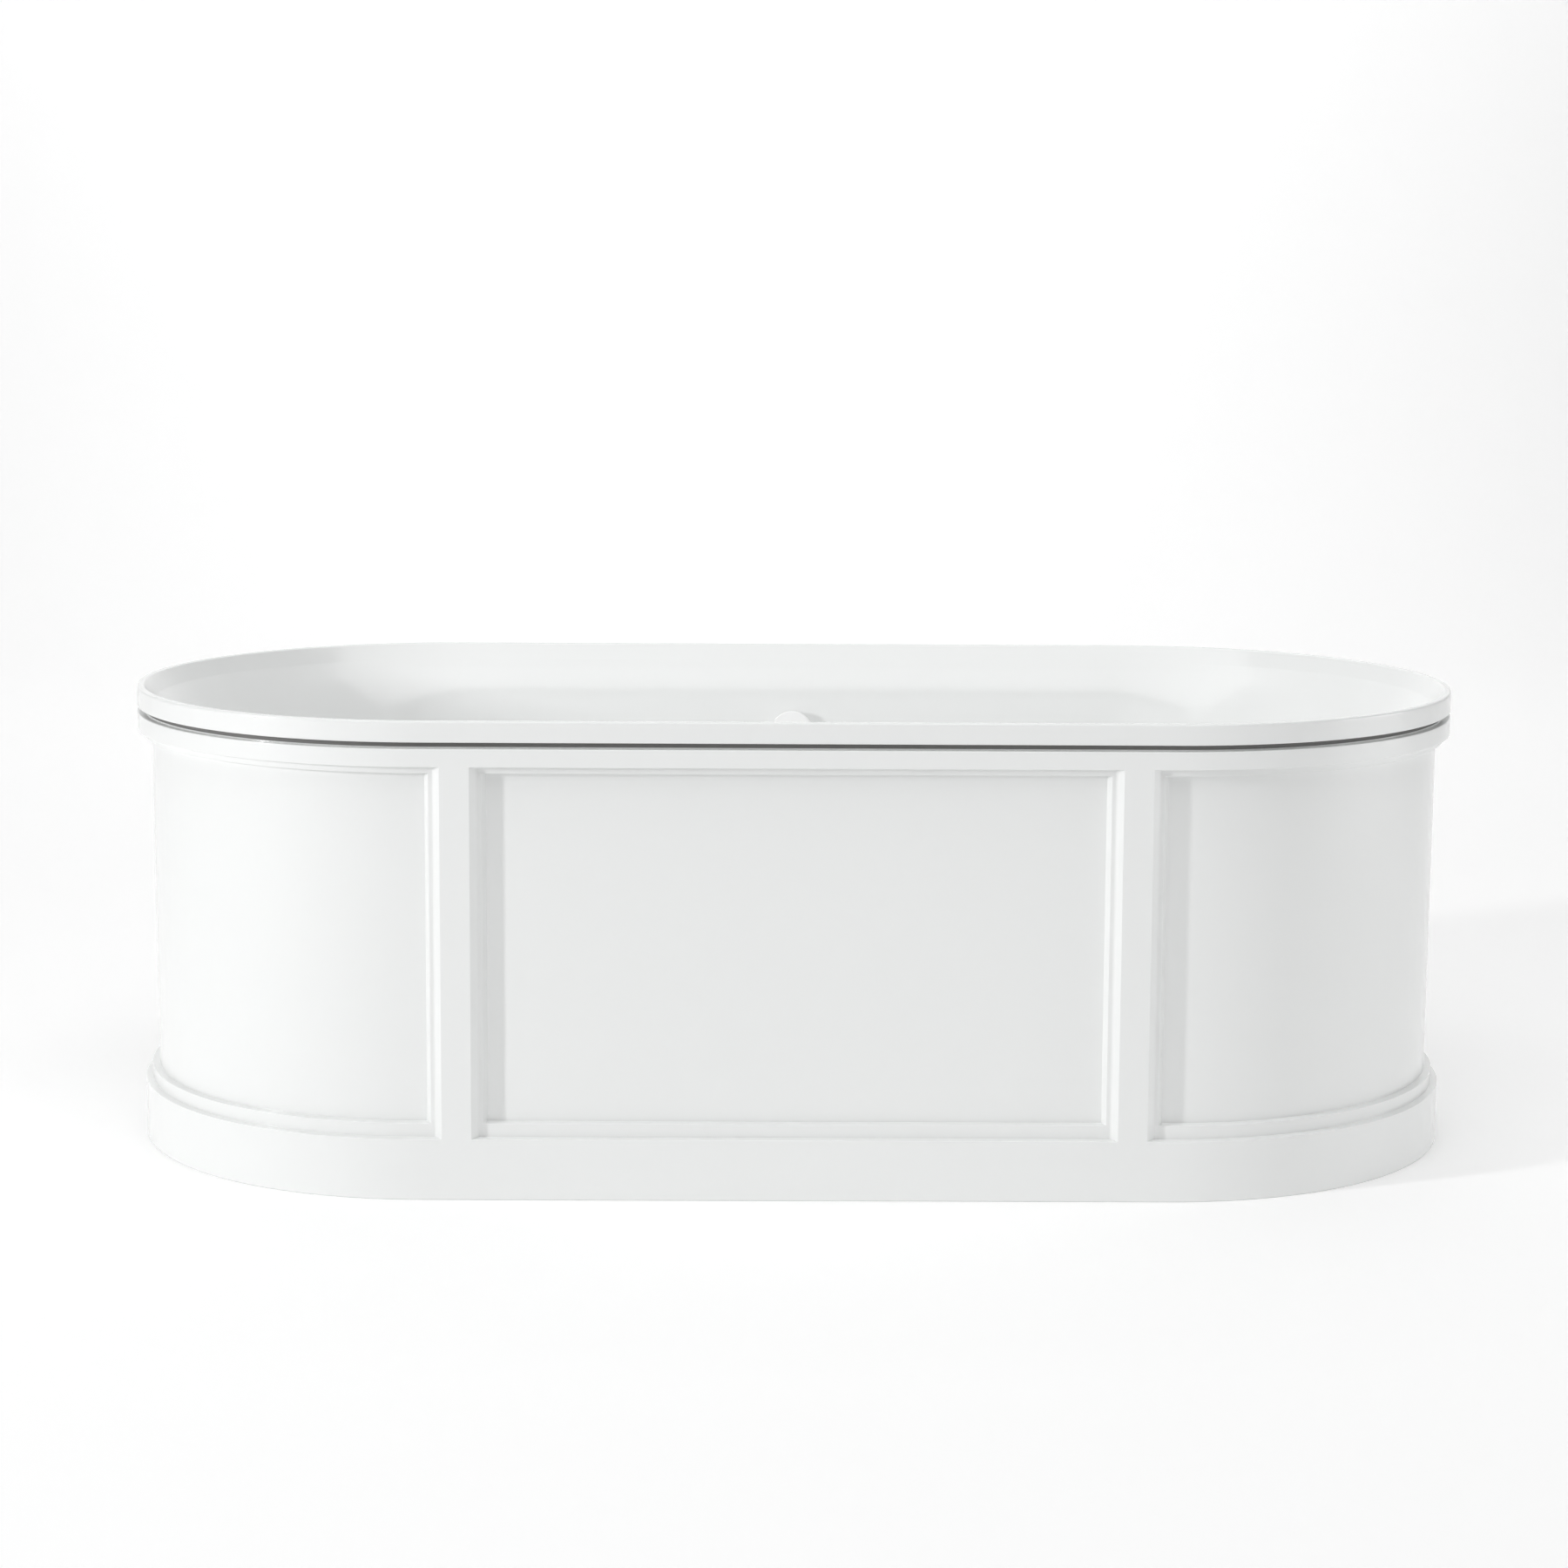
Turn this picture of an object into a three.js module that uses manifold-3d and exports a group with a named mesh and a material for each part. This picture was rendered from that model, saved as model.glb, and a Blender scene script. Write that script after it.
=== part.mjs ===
// Freestanding double-ended bath: an oval basin in a two-piece panelled skirt, standing on a
// steel frame with adjustable feet, with a rotary overflow that lifts a pop-up waste plug.
// Millimetres, +Z up. The origin is on the floor, under the middle of the bath.
// +X is the long direction and +Y points to the overflow side.
import * as THREE from 'three';
import { mergeVertices } from 'three/addons/utils/BufferGeometryUtils.js';
import Module from 'manifold-3d';

const wasm = await Module();
wasm.setup();

// ---- driving dimensions -------------------------------------------------------------------
const GAP = 0.3; // clearance between touching pieces
const ROUND = 18; // sides of round pieces
const SMALL_ROUND = 12; // sides of screws, holes and small bars

const HALF_LENGTH = 885.5;
const HALF_WIDTH = 385.5;
const HALF_STRAIGHT = 476; // half length of the straight part of each long side
const END_RATIO = (HALF_LENGTH - HALF_STRAIGHT) / HALF_WIDTH; // shape of the elliptical ends

const RIM_TOP = 614;
const RIM_BOTTOM = 587;
const RIM_CREST = 9; // width of the rim's top before it falls away inwards
const RIM_ROUND = 2.5;
const RIM_EASE = 3; // rounding where the crest meets the inner slope
const LIP_BOTTOM = 592;
const LIP_INSET = 21;
const LIP_SLOPE = (LIP_INSET - RIM_CREST) / (RIM_TOP - LIP_BOTTOM);
const RIM_UNDERCUT = 14.5;
const ARC_MIDDLE = 1 - Math.SQRT1_2; // how far the middle of a unit round is from its sides
const WALL = 7; // basin wall thickness
const FLOOR_TOP = 165;
const OVAL_DIVISIONS = 8; // points per quarter of the oval

const SKIRT_TOP = 579;
const PANEL_TOP = 556;
const PLINTH_TOP = 79;
const SKIRT_WALL = 7;
const SKIRT_BATTER = 4; // how far the skirt leans in from the top band to the floor
const NECK_INSET = 10; // set-back of the shadow gap between skirt and rim
const NECK_WALL = 4;
const NECK_TOP = 580.4;

const CENTRE_PANEL_HALF = 408.8;
const STILE_WIDTH = 37.4;
const LEDGE_DEPTH = 9; // first step of the recessed panels
const PANEL_DEPTH = 18.5; // second step

const STEP_DEPTHS = [0, LEDGE_DEPTH, LEDGE_DEPTH, PANEL_DEPTH];
const SIDE_STEPS = [0, 8.6, 14.4, 19.8]; // drafted sides of a recess, from its outer edge
const TOP_STEPS = [0, 1, 9.1, 10.1];
const BOTTOM_STEPS = [0, 1, 18.5, 19.5];

const JOINER_BOTTOM = 130;
const JOINER_TOP = 520;
const JOINER_WALL = 4;
const JOINER_SHARE = 0.8; // of the first facet on each side of the joint

// Inside of the basin from the rim down: [z, inset at the long sides, inset at the ends].
const INSIDE = [
  [LIP_BOTTOM, LIP_INSET, LIP_INSET],
  [580, 27, 30],
  [560, 38, 44],
  [530, 49, 65],
  [440, 67, 125],
  [380, 78, 165],
  [300, 94, 215],
  [240, 110, 256],
  [205, 128, 287],
  [185, 150, 314],
  [172, 185, 350],
  [167, 230, 405],
  [165, 300, 560],
];

// Base board, cross rails and brackets.
const BOARD_HALF_LENGTH = 500;
const BOARD_HALF_WIDTH = 165;
const BOARD_CORNER = 60;
const BOARD_TOP = 156.4;
const BOARD_HOLE = 62;
const RAIL_X = 400;
const RAIL_TOP = 137.7;
const RAIL_HEIGHT = 25;
const RAIL_WIDTH = 40;
const RAIL_WALL = 2.5;
const RAIL_HALF_LENGTH = 335;
const BATTEN_LENGTH = 120;
const BATTEN_DEPTH = 30;
const BATTEN_HEIGHT = 50;
const BATTEN_MIDDLE = 45;
const BATTEN_FACE = 344; // distance of the battens' inner face from the middle of the bath
const BRACKET_WALL = 3;
const BRACKET_WIDTH = 60;
const BRACKET_BOTTOM = 25;
const BRACKET_REACH = 56;
const BRACKET_BOLT_Y = 312;
const BOLT_RADIUS = 3;
const BOLT_LENGTH = 14;
const BOLT_HEAD = 5.8; // radius over the corners
const BOLT_HEAD_HEIGHT = 4;
const SCREW_RADIUS = 2;
const SCREW_LENGTH = 25;
const SCREW_Z = 46;

// Feet.
const FOOT_Y = 210;
const FOOT_PAD = 28; // radius
const FOOT_SOCKET = 10; // height of the socket's floor
const FOOT_STUD = 6; // radius
const STUD_TOP = 126;
const STUD_GRIP = 10; // radius over the corners of the hexagon on a stud
const STUD_GRIP_BOTTOM = 24;
const STUD_GRIP_HEIGHT = 9;
const FOOT_NUT = 11; // radius over the corners
const FOOT_NUT_HEIGHT = 9;

// Waste, trap and plug.
const WASTE_HOLE = 26;
const FLANGE_BORE = 20.5;
const FLANGE_SEAT = FLOOR_TOP + GAP;
const FLANGE_TOP = FLANGE_SEAT + 4.6;
const FLANGE_LIP = 1.6; // height of the flange's underside over its seat
const BASIN_UNDER = FLOOR_TOP - WALL;
const WASTE_BODY_TOP = BASIN_UNDER - 4;
const SPIGOT_Z = 120; // height of the overflow pipe where it joins the waste
const SPIGOT_STOP = 34; // distance of the spigots' inner ends from the middle of the waste
const PIPE_RADIUS = 9; // overflow pipe
const CABLE_RADIUS = 3;
const CABLE_X = 24;
const TUBE_WALL = 3;
const PLUG_BODY = 13; // radius
const PLUG_BOTTOM = 158;
const PLUG_STEM = 4; // radius
const PLUG_STEM_BOTTOM = 124;
const TRAP_TOP = 100;
const TRAP_NECK = 25; // radius
const TRAP_Z = 58; // height of the trap's outlet
const TRAP_PIPE = 20; // radius
const TRAP_PIPE_START = 46;
const TRAP_PIPE_END = 250;

// Overflow, along the axis of its knob, from the inside of the basin wall.
const OVERFLOW_Z = 490;
const OVERFLOW_HOLE = 23;
const KNOB_RADIUS = 31.3;
const KNOB_LIFT = 2.8; // water runs in behind the knob
const KNOB_CROWN = 15;
const KNOB_SHAFT = 5; // radius
const STRAINER_SLOTS = 6;
const BODY_FRONT = -(WALL + 2.6);
const BODY_BACK = -24;
const BODY_MIDDLE = (BODY_BACK + BODY_FRONT) / 2;
const BODY_RADIUS = 32;
const BODY_BORE = 22; // radius
const BODY_SPIGOT_END = 46;
const BODY_GLAND_END = 36;

// ---- materials ----------------------------------------------------------------------------
const material = (color, roughness, metalness = 0) =>
  new THREE.MeshStandardMaterial({ color, roughness, metalness });

const whiteGloss = material(0xf7f8f7, 0.12);
const greyRubber = material(0x7d7c7b, 0.85);
const greyPlastic = material(0x8d9194, 0.5);
const whitePlastic = material(0xe9ebea, 0.4);
const blackPlastic = material(0x2a2b2c, 0.55);
const chrome = material(0xdfe2e4, 0.08, 1);
const zincSteel = material(0xa9adb0, 0.4, 1);
const boardWood = material(0xb8945f, 0.8);
const battenWood = material(0xc9a873, 0.75);

// ---- mesh helpers -------------------------------------------------------------------------
const bath = new THREE.Group();

function add(name, geometry, finish, parent = bath) {
  const mesh = new THREE.Mesh(geometry, finish);
  mesh.name = name;
  parent.add(mesh);
  return mesh;
}

function signedVolume(points, triangles) {
  let volume = 0;
  for (let i = 0; i < triangles.length; i += 3) {
    const [a, b, c] = [points[triangles[i]], points[triangles[i + 1]], points[triangles[i + 2]]];
    volume += a.dot(new THREE.Vector3().crossVectors(b, c));
  }
  return volume;
}

// A closed mesh from points and triangles, with its faces turned outwards.
function closedGeometry(points, triangles) {
  if (signedVolume(points, triangles) < 0) triangles.reverse();
  const geometry = new THREE.BufferGeometry().setFromPoints(points);
  geometry.setIndex(triangles);
  return geometry;
}

// Skins a grid of points, grid[station][row]. Rows close into a loop around each station when
// wrapRows is set; stations close into a ring when wrapStations is set. A quad is split along
// the diagonal whose ends differ more in depth, so that mitres stay crisp.
function skinGrid(grid, { wrapStations = false, wrapRows = false, depths = null }) {
  const stations = grid.length;
  const rows = grid[0].length;
  const points = grid.flat();
  const triangles = [];
  const depthOf = (index) => (depths ? depths[Math.floor(index / rows)][index % rows] : 0);
  for (let i = 0; i < (wrapStations ? stations : stations - 1); i++) {
    for (let j = 0; j < (wrapRows ? rows : rows - 1); j++) {
      const nextStation = ((i + 1) % stations) * rows;
      const nextRow = (j + 1) % rows;
      const [a, b, c, d] = [i * rows + j, nextStation + j, nextStation + nextRow, i * rows + nextRow];
      if (Math.abs(depthOf(a) - depthOf(c)) >= Math.abs(depthOf(b) - depthOf(d))) {
        triangles.push(a, b, c, a, c, d);
      } else {
        triangles.push(a, b, d, b, c, d);
      }
    }
  }
  return { points, triangles };
}

function toSolid(geometry) {
  const plain = geometry.clone();
  plain.deleteAttribute('normal');
  plain.deleteAttribute('uv');
  const merged = mergeVertices(plain, 1e-4);
  return new wasm.Manifold(
    new wasm.Mesh({
      numProp: 3,
      vertProperties: new Float32Array(merged.attributes.position.array),
      triVerts: new Uint32Array(merged.index.array),
    }),
  );
}

function fromSolid(solid) {
  const mesh = solid.getMesh();
  const geometry = new THREE.BufferGeometry();
  geometry.setAttribute('position', new THREE.BufferAttribute(mesh.vertProperties, 3));
  geometry.setIndex(new THREE.BufferAttribute(mesh.triVerts, 1));
  return geometry;
}

function cut(geometry, ...tools) {
  return fromSolid(tools.reduce((solid, tool) => solid.subtract(toSolid(tool)), toSolid(geometry)));
}

function join(first, ...others) {
  return fromSolid(others.reduce((solid, other) => solid.add(toSolid(other)), toSolid(first)));
}

// ---- simple shapes ------------------------------------------------------------------------
// A turned solid about Z from [radius, z] pairs that start and end on the axis or close.
function turned(profile, segments = ROUND) {
  const points = profile.map(([radius, z]) => new THREE.Vector2(radius, z));
  if (profile[0][0] > 0) points.push(points[0].clone());
  const geometry = new THREE.LatheGeometry(points, segments).rotateX(Math.PI / 2);
  const clean = mergeVertices(stripped(geometry), 1e-4);
  return orientOut(dropDegenerate(clean));
}

function stripped(geometry) {
  geometry.deleteAttribute('normal');
  geometry.deleteAttribute('uv');
  return geometry;
}

function dropDegenerate(geometry) {
  const index = geometry.index.array;
  const kept = [];
  for (let i = 0; i < index.length; i += 3) {
    const [a, b, c] = [index[i], index[i + 1], index[i + 2]];
    if (a !== b && b !== c && a !== c) kept.push(a, b, c);
  }
  geometry.setIndex(kept);
  return geometry;
}

function orientOut(geometry) {
  const positions = geometry.attributes.position;
  const points = [];
  for (let i = 0; i < positions.count; i++) {
    points.push(new THREE.Vector3().fromBufferAttribute(positions, i));
  }
  return closedGeometry(points, Array.from(geometry.index.array));
}

// A flat ring about Z.
function ring(inner, outer, bottom, top, segments = ROUND) {
  return turned([[inner, bottom], [outer, bottom], [outer, top], [inner, top]], segments);
}

// A round bar along Z.
function rod(radius, bottom, top, segments = SMALL_ROUND) {
  return turned([[0, bottom], [radius, bottom], [radius, top], [0, top]], segments);
}

function box(sizeX, sizeY, sizeZ, x, y, z) {
  return new THREE.BoxGeometry(sizeX, sizeY, sizeZ).translate(x, y, z);
}

// A six-sided bar along Z.
function hexagon(cornerRadius, bottom, top) {
  const bar = new THREE.CylinderGeometry(cornerRadius, cornerRadius, top - bottom, 6);
  return bar.rotateX(Math.PI / 2).translate(0, 0, (top + bottom) / 2);
}

// A round tube or bar swept along a smooth route.
function swept(route, radius, steps, sides = 10) {
  const path = new THREE.CatmullRomCurve3(route, false, 'centripetal');
  const section = new THREE.Shape();
  for (let i = 0; i < sides; i++) {
    const angle = (i / sides) * 2 * Math.PI;
    const [x, y] = [radius * Math.cos(angle), radius * Math.sin(angle)];
    if (i === 0) section.moveTo(x, y);
    else section.lineTo(x, y);
  }
  section.closePath();
  const options = { steps, extrudePath: path, bevelEnabled: false };
  return stripped(new THREE.ExtrudeGeometry(section, options));
}

// ---- oval plan ----------------------------------------------------------------------------
// The points of an oval with elliptical ends, in order round it, at one height. Every straight
// side runs between two points.
function oval(halfLength, halfWidth, z) {
  const straight = Math.max(1, halfLength - END_RATIO * halfWidth);
  const points = [];
  for (const end of [1, -1]) {
    for (let i = -OVAL_DIVISIONS; i <= OVAL_DIVISIONS; i++) {
      const angle = ((i / OVAL_DIVISIONS) * Math.PI) / 2;
      const reach = straight + (halfLength - straight) * Math.cos(angle);
      points.push(new THREE.Vector3(end * reach, end * halfWidth * Math.sin(angle), z));
    }
  }
  return points;
}

// A grid of points that follows the oval, from [z, side inset, end inset] levels.
function ovalGrid(levels) {
  const loops = levels.map(([z, side, end]) => oval(HALF_LENGTH - end, HALF_WIDTH - side, z));
  return loops[0].map((point, station) => loops.map((loop) => loop[station]));
}

// A ring that follows the rim plan, from the corners of its section.
function ovalRing(inner, outer, bottom, top) {
  const section = [
    [bottom, inner],
    [bottom, outer],
    [top, outer],
    [top, inner],
  ];
  const grid = ovalGrid(section.map(([z, inset]) => [z, inset, inset]));
  const { points, triangles } = skinGrid(grid, { wrapStations: true, wrapRows: true });
  return closedGeometry(points, triangles);
}

// ---- basin --------------------------------------------------------------------------------
function insideInset(z) {
  const below = INSIDE.findIndex(([level]) => level <= z);
  const [z0, inset0] = INSIDE[below - 1];
  const [z1, inset1] = INSIDE[below];
  return inset0 + ((inset1 - inset0) * (z0 - z)) / (z0 - z1);
}

// Outside of the basin wall: the inside moved out by the wall thickness.
function outsideOf(index) {
  const [z, side, end] = INSIDE[index];
  const before = INSIDE[Math.max(index - 1, 0)];
  const after = INSIDE[Math.min(index + 1, INSIDE.length - 1)];
  const fall = before[0] - after[0];
  const sideAngle = Math.atan2(fall, after[1] - before[1]);
  const endAngle = Math.atan2(fall, after[2] - before[2]);
  const drop = WALL * Math.cos(sideAngle);
  const sideShift = WALL * Math.sin(sideAngle);
  const endShift = (WALL * (1 - Math.cos(sideAngle) * Math.cos(endAngle))) / Math.sin(endAngle);
  return [z - drop, side - sideShift, end - endShift];
}

function basinGeometry() {
  const rim = [
    [RIM_BOTTOM, RIM_UNDERCUT],
    [RIM_BOTTOM, 1],
    [RIM_BOTTOM + 1, 0],
    [RIM_TOP - RIM_ROUND, 0],
    [RIM_TOP - RIM_ROUND * ARC_MIDDLE, RIM_ROUND * ARC_MIDDLE],
    [RIM_TOP, RIM_ROUND],
    [RIM_TOP, RIM_CREST - RIM_EASE],
    [RIM_TOP - RIM_EASE, RIM_CREST + RIM_EASE * LIP_SLOPE],
  ].map(([z, inset]) => [z, inset, inset]);
  const outside = INSIDE.map((level, index) => outsideOf(index)).slice(1).reverse();
  const levels = [...outside, ...rim, ...INSIDE];
  const grid = ovalGrid(levels);
  const { points, triangles } = skinGrid(grid, { wrapStations: true });
  const rows = levels.length;
  const bottomPole = points.push(new THREE.Vector3(0, 0, outside[0][0])) - 1;
  const topPole = points.push(new THREE.Vector3(0, 0, FLOOR_TOP)) - 1;
  for (let i = 0; i < grid.length; i++) {
    const here = i * rows;
    const next = ((i + 1) % grid.length) * rows;
    triangles.push(here, bottomPole, next);
    triangles.push(here + rows - 1, next + rows - 1, topPole);
  }
  return closedGeometry(points, triangles);
}

// The overflow fittings are modelled along Z, pointing into the basin, with z = 0 on the
// inside of the rear wall, and are then turned square to that wall.
const LEAN_SPAN = 20; // the wall's lean is taken this far above and below the overflow
const leanRise = insideInset(OVERFLOW_Z - LEAN_SPAN) - insideInset(OVERFLOW_Z + LEAN_SPAN);
const WALL_LEAN = Math.atan(leanRise / (2 * LEAN_SPAN));
const overflow = new THREE.Group();
overflow.position.set(0, HALF_WIDTH - insideInset(OVERFLOW_Z), OVERFLOW_Z);
overflow.rotation.x = Math.PI / 2 - WALL_LEAN;
bath.add(overflow);
overflow.updateMatrixWorld(true);

function makeBasin() {
  const wasteHole = rod(WASTE_HOLE, FLOOR_TOP - 30, FLOOR_TOP + 30, ROUND);
  const overflowHole = rod(OVERFLOW_HOLE, -30, 30, ROUND).applyMatrix4(overflow.matrixWorld);
  add('basin', cut(basinGeometry(), wasteHole, overflowHole), whiteGloss);
}

// ---- skirt --------------------------------------------------------------------------------
const batter = (z) => SKIRT_BATTER * Math.max(0, 1 - z / PANEL_TOP);

// Stations along the front of the skirt, from the -X tip to the +X tip. Each is an arc angle
// or a place on the straight side, with the recess step that it lies on.
function skirtStations() {
  const arc = [];
  for (let i = 0; i <= OVAL_DIVISIONS; i++) {
    arc.push({ angle: (i / OVAL_DIVISIONS) * (Math.PI / 2), step: 3 });
  }
  const outerEdge = CENTRE_PANEL_HALF + STILE_WIDTH;
  const leaving = [3, 2, 1, 0].map((step) => ({ x: -(outerEdge + SIDE_STEPS[step]), step }));
  const entering = [0, 1, 2, 3].map((step) => ({ x: -(CENTRE_PANEL_HALF - SIDE_STEPS[step]), step }));
  const left = [...arc, ...leaving, ...entering];
  const right = left.map((station) => ({ ...station, mirrored: true })).reverse();
  return [...left, ...right];
}

function skirtPoint(station, inset, z) {
  const side = station.mirrored ? 1 : -1;
  if (station.angle === undefined) {
    return new THREE.Vector3(-side * station.x, -(HALF_WIDTH - inset), z);
  }
  const reach = HALF_STRAIGHT + (HALF_LENGTH - inset - HALF_STRAIGHT) * Math.cos(station.angle);
  const across = (HALF_WIDTH - inset) * Math.sin(station.angle);
  return new THREE.Vector3(side * reach, -Math.max(across, GAP / 2), z);
}

// Levels up the skirt, with the recess step that each lies on and how far the inner face of
// the skirt is shifted up or down from it.
function skirtLevels() {
  const bottom = BOTTOM_STEPS.map((rise, step) => ({ z: PLINTH_TOP + rise, step, shift: -SKIRT_WALL }));
  const top = TOP_STEPS.map((fall, step) => ({ z: PANEL_TOP - fall, step, shift: SKIRT_WALL }));
  return [{ z: 0, step: 0, shift: 0 }, ...bottom, ...top.reverse()];
}

// One section of the skirt as [inset, z, recess depth] corners, in a loop.
function skirtSection(station) {
  const levels = skirtLevels().map((level) => ({
    ...level,
    depth: STEP_DEPTHS[Math.min(level.step, station.step)],
  }));
  const outer = levels.map(({ z, depth }) => [depth + batter(z), z, depth]);
  const inner = levels.map(({ z, depth, shift }) => [depth + batter(z) + SKIRT_WALL, z + shift, depth]);
  return [
    ...outer,
    [0, SKIRT_TOP, 0],
    [NECK_INSET, SKIRT_TOP, 0],
    [NECK_INSET, NECK_TOP, 0],
    [NECK_INSET + NECK_WALL, NECK_TOP, 0],
    [NECK_INSET + NECK_WALL, SKIRT_TOP - SKIRT_WALL, 0],
    ...inner.reverse(),
  ];
}

// The triangles that close one end of a skin, wound with the rows or against them.
function endCap(section, firstPoint, withRows) {
  const outline = section.map(([inset, z]) => new THREE.Vector2(inset, z));
  const turn = THREE.ShapeUtils.area(outline) > 0;
  return THREE.ShapeUtils.triangulateShape(outline, []).flatMap((triangle) => {
    const sameTurn = THREE.ShapeUtils.area(triangle.map((row) => outline[row])) > 0 === turn;
    const [a, b, c] = triangle.map((row) => row + firstPoint);
    return sameTurn === withRows ? [a, b, c] : [a, c, b];
  });
}

function skirtHalf() {
  const stations = skirtStations();
  const sections = stations.map(skirtSection);
  const grid = stations.map((station, i) => sections[i].map(([inset, z]) => skirtPoint(station, inset, z)));
  const depths = sections.map((section) => section.map(([, , depth]) => depth));
  const { points, triangles } = skinGrid(grid, { wrapRows: true, depths });
  const last = stations.length - 1;
  triangles.push(...endCap(sections[0], 0, true));
  triangles.push(...endCap(sections[last], last * sections[0].length, false));
  return closedGeometry(points, triangles);
}

function makeSkirt() {
  add('skirt_front', skirtHalf(), whiteGloss);
  add('skirt_rear', skirtHalf(), whiteGloss).rotation.z = Math.PI;
}

// A soft strip on the neck of the skirt, under the rim.
function makeRimSeal() {
  const inner = NECK_INSET + GAP;
  const outer = NECK_INSET + NECK_WALL - GAP;
  add('rim_seal', ovalRing(inner, outer, NECK_TOP + GAP, RIM_BOTTOM - GAP), greyRubber);
}

// Plates bonded inside the skirt, across the joint at each tip.
function makeSeamJoiners() {
  const [tip, facetEnd] = skirtStations();
  const place = (inset, z, share) => {
    const start = skirtPoint(tip, inset, z).setY(0);
    return start.lerp(skirtPoint(facetEnd, inset, z), share);
  };
  const section = [
    [0, JOINER_BOTTOM],
    [0, JOINER_TOP],
    [JOINER_WALL, JOINER_TOP],
    [JOINER_WALL, JOINER_BOTTOM],
  ];
  const corners = section.map(([depth, z]) => [PANEL_DEPTH + SKIRT_WALL + GAP + batter(z) + depth, z]);
  const front = corners.map(([inset, z]) => place(inset, z, JOINER_SHARE));
  const middle = corners.map(([inset, z]) => place(inset, z, 0));
  const rear = front.map(({ x, y, z }) => new THREE.Vector3(x, -y, z));
  const { points, triangles } = skinGrid([front, middle, rear], { wrapRows: true });
  triangles.push(...endCap(section, 0, true), ...endCap(section, 2 * section.length, false));
  const geometry = closedGeometry(points, triangles);
  add('seam_joiner_left', geometry, greyPlastic);
  add('seam_joiner_right', geometry.clone(), greyPlastic).rotation.z = Math.PI;
}

// ---- support under the basin --------------------------------------------------------------
function makeBaseBoard() {
  const [x, y, r] = [BOARD_HALF_LENGTH, BOARD_HALF_WIDTH, BOARD_CORNER];
  const outline = new THREE.Shape();
  outline.moveTo(-x + r, -y);
  outline.lineTo(x - r, -y);
  outline.absarc(x - r, -y + r, r, -Math.PI / 2, 0);
  outline.absarc(x - r, y - r, r, 0, Math.PI / 2);
  outline.absarc(-x + r, y - r, r, Math.PI / 2, Math.PI);
  outline.absarc(-x + r, -y + r, r, Math.PI, Math.PI * 1.5);
  outline.holes.push(new THREE.Path().absarc(0, 0, BOARD_HOLE, 0, 2 * Math.PI, true));
  const bottom = RAIL_TOP + GAP;
  const options = { depth: BOARD_TOP - bottom, bevelEnabled: false, curveSegments: 5 };
  const board = new THREE.ExtrudeGeometry(outline, options).translate(0, 0, bottom);
  add('base_board', stripped(board), boardWood);
}

function railGeometry() {
  const middle = RAIL_TOP - RAIL_HEIGHT / 2;
  const bottom = RAIL_TOP - RAIL_HEIGHT;
  const tube = box(RAIL_WIDTH, 2 * RAIL_HALF_LENGTH, RAIL_HEIGHT, 0, 0, middle);
  const inside = [RAIL_WIDTH, 2 * RAIL_HALF_LENGTH + 20, RAIL_HEIGHT].map((size) => size - 2 * RAIL_WALL);
  const hollow = box(...inside, 0, 0, middle);
  const holes = [-1, 1].flatMap((side) => [
    rod(FOOT_STUD + GAP, bottom - 5, bottom + 5).translate(0, side * FOOT_Y, 0),
    rod(BOLT_RADIUS + GAP, RAIL_TOP - 5, RAIL_TOP + 5).translate(0, side * BRACKET_BOLT_Y, 0),
  ]);
  return cut(tube, hollow, ...holes);
}

function footPad() {
  const socket = FOOT_STUD + GAP;
  const profile = [
    [0, 0],
    [FOOT_PAD, 0],
    [FOOT_PAD, 5],
    [FOOT_PAD - 3, 8],
    [13, 9],
    [12, 22],
    [socket, 22],
    [socket, FOOT_SOCKET],
    [0, FOOT_SOCKET],
  ];
  return turned(profile, SMALL_ROUND);
}

function footStud() {
  const grip = hexagon(STUD_GRIP, STUD_GRIP_BOTTOM, STUD_GRIP_BOTTOM + STUD_GRIP_HEIGHT);
  return join(rod(FOOT_STUD, FOOT_SOCKET + GAP, STUD_TOP), grip);
}

function battenGeometry() {
  const y = -(BATTEN_FACE + BATTEN_DEPTH / 2);
  const block = box(BATTEN_LENGTH, BATTEN_DEPTH, BATTEN_HEIGHT, 0, y, BATTEN_MIDDLE);
  return cut(block, alongY(rod(SCREW_RADIUS + GAP, -1, SCREW_LENGTH - 1), -BATTEN_FACE));
}

// Turns a Z-axis piece so that its +Z end points to the outside, and places it at a given y.
function alongY(geometry, y) {
  return geometry.rotateX(Math.PI / 2).translate(0, y, SCREW_Z);
}

function bracketGeometry() {
  const face = -(BATTEN_FACE - GAP);
  const legTop = RAIL_TOP + GAP + BRACKET_WALL;
  const outline = new THREE.Shape();
  outline.moveTo(face, BRACKET_BOTTOM);
  outline.lineTo(face, legTop);
  outline.lineTo(face + BRACKET_REACH, legTop);
  outline.lineTo(face + BRACKET_REACH, legTop - BRACKET_WALL);
  outline.lineTo(face + BRACKET_WALL, legTop - BRACKET_WALL);
  outline.lineTo(face + BRACKET_WALL, BRACKET_BOTTOM);
  outline.closePath();
  const options = { depth: BRACKET_WIDTH, bevelEnabled: false };
  const plate = stripped(new THREE.ExtrudeGeometry(outline, options));
  // The outline is drawn in Y and Z, and its thickness runs along X.
  const axes = new THREE.Matrix4().set(0, 0, 1, 0, 1, 0, 0, 0, 0, 1, 0, 0, 0, 0, 0, 1);
  plate.applyMatrix4(axes).translate(-BRACKET_WIDTH / 2, 0, 0);
  const screwHole = alongY(rod(SCREW_RADIUS + GAP, -10, 10), face);
  const boltHole = rod(BOLT_RADIUS + GAP, RAIL_TOP - 5, legTop + 5).translate(0, -BRACKET_BOLT_Y, 0);
  return cut(plate, screwHole, boltHole);
}

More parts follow.
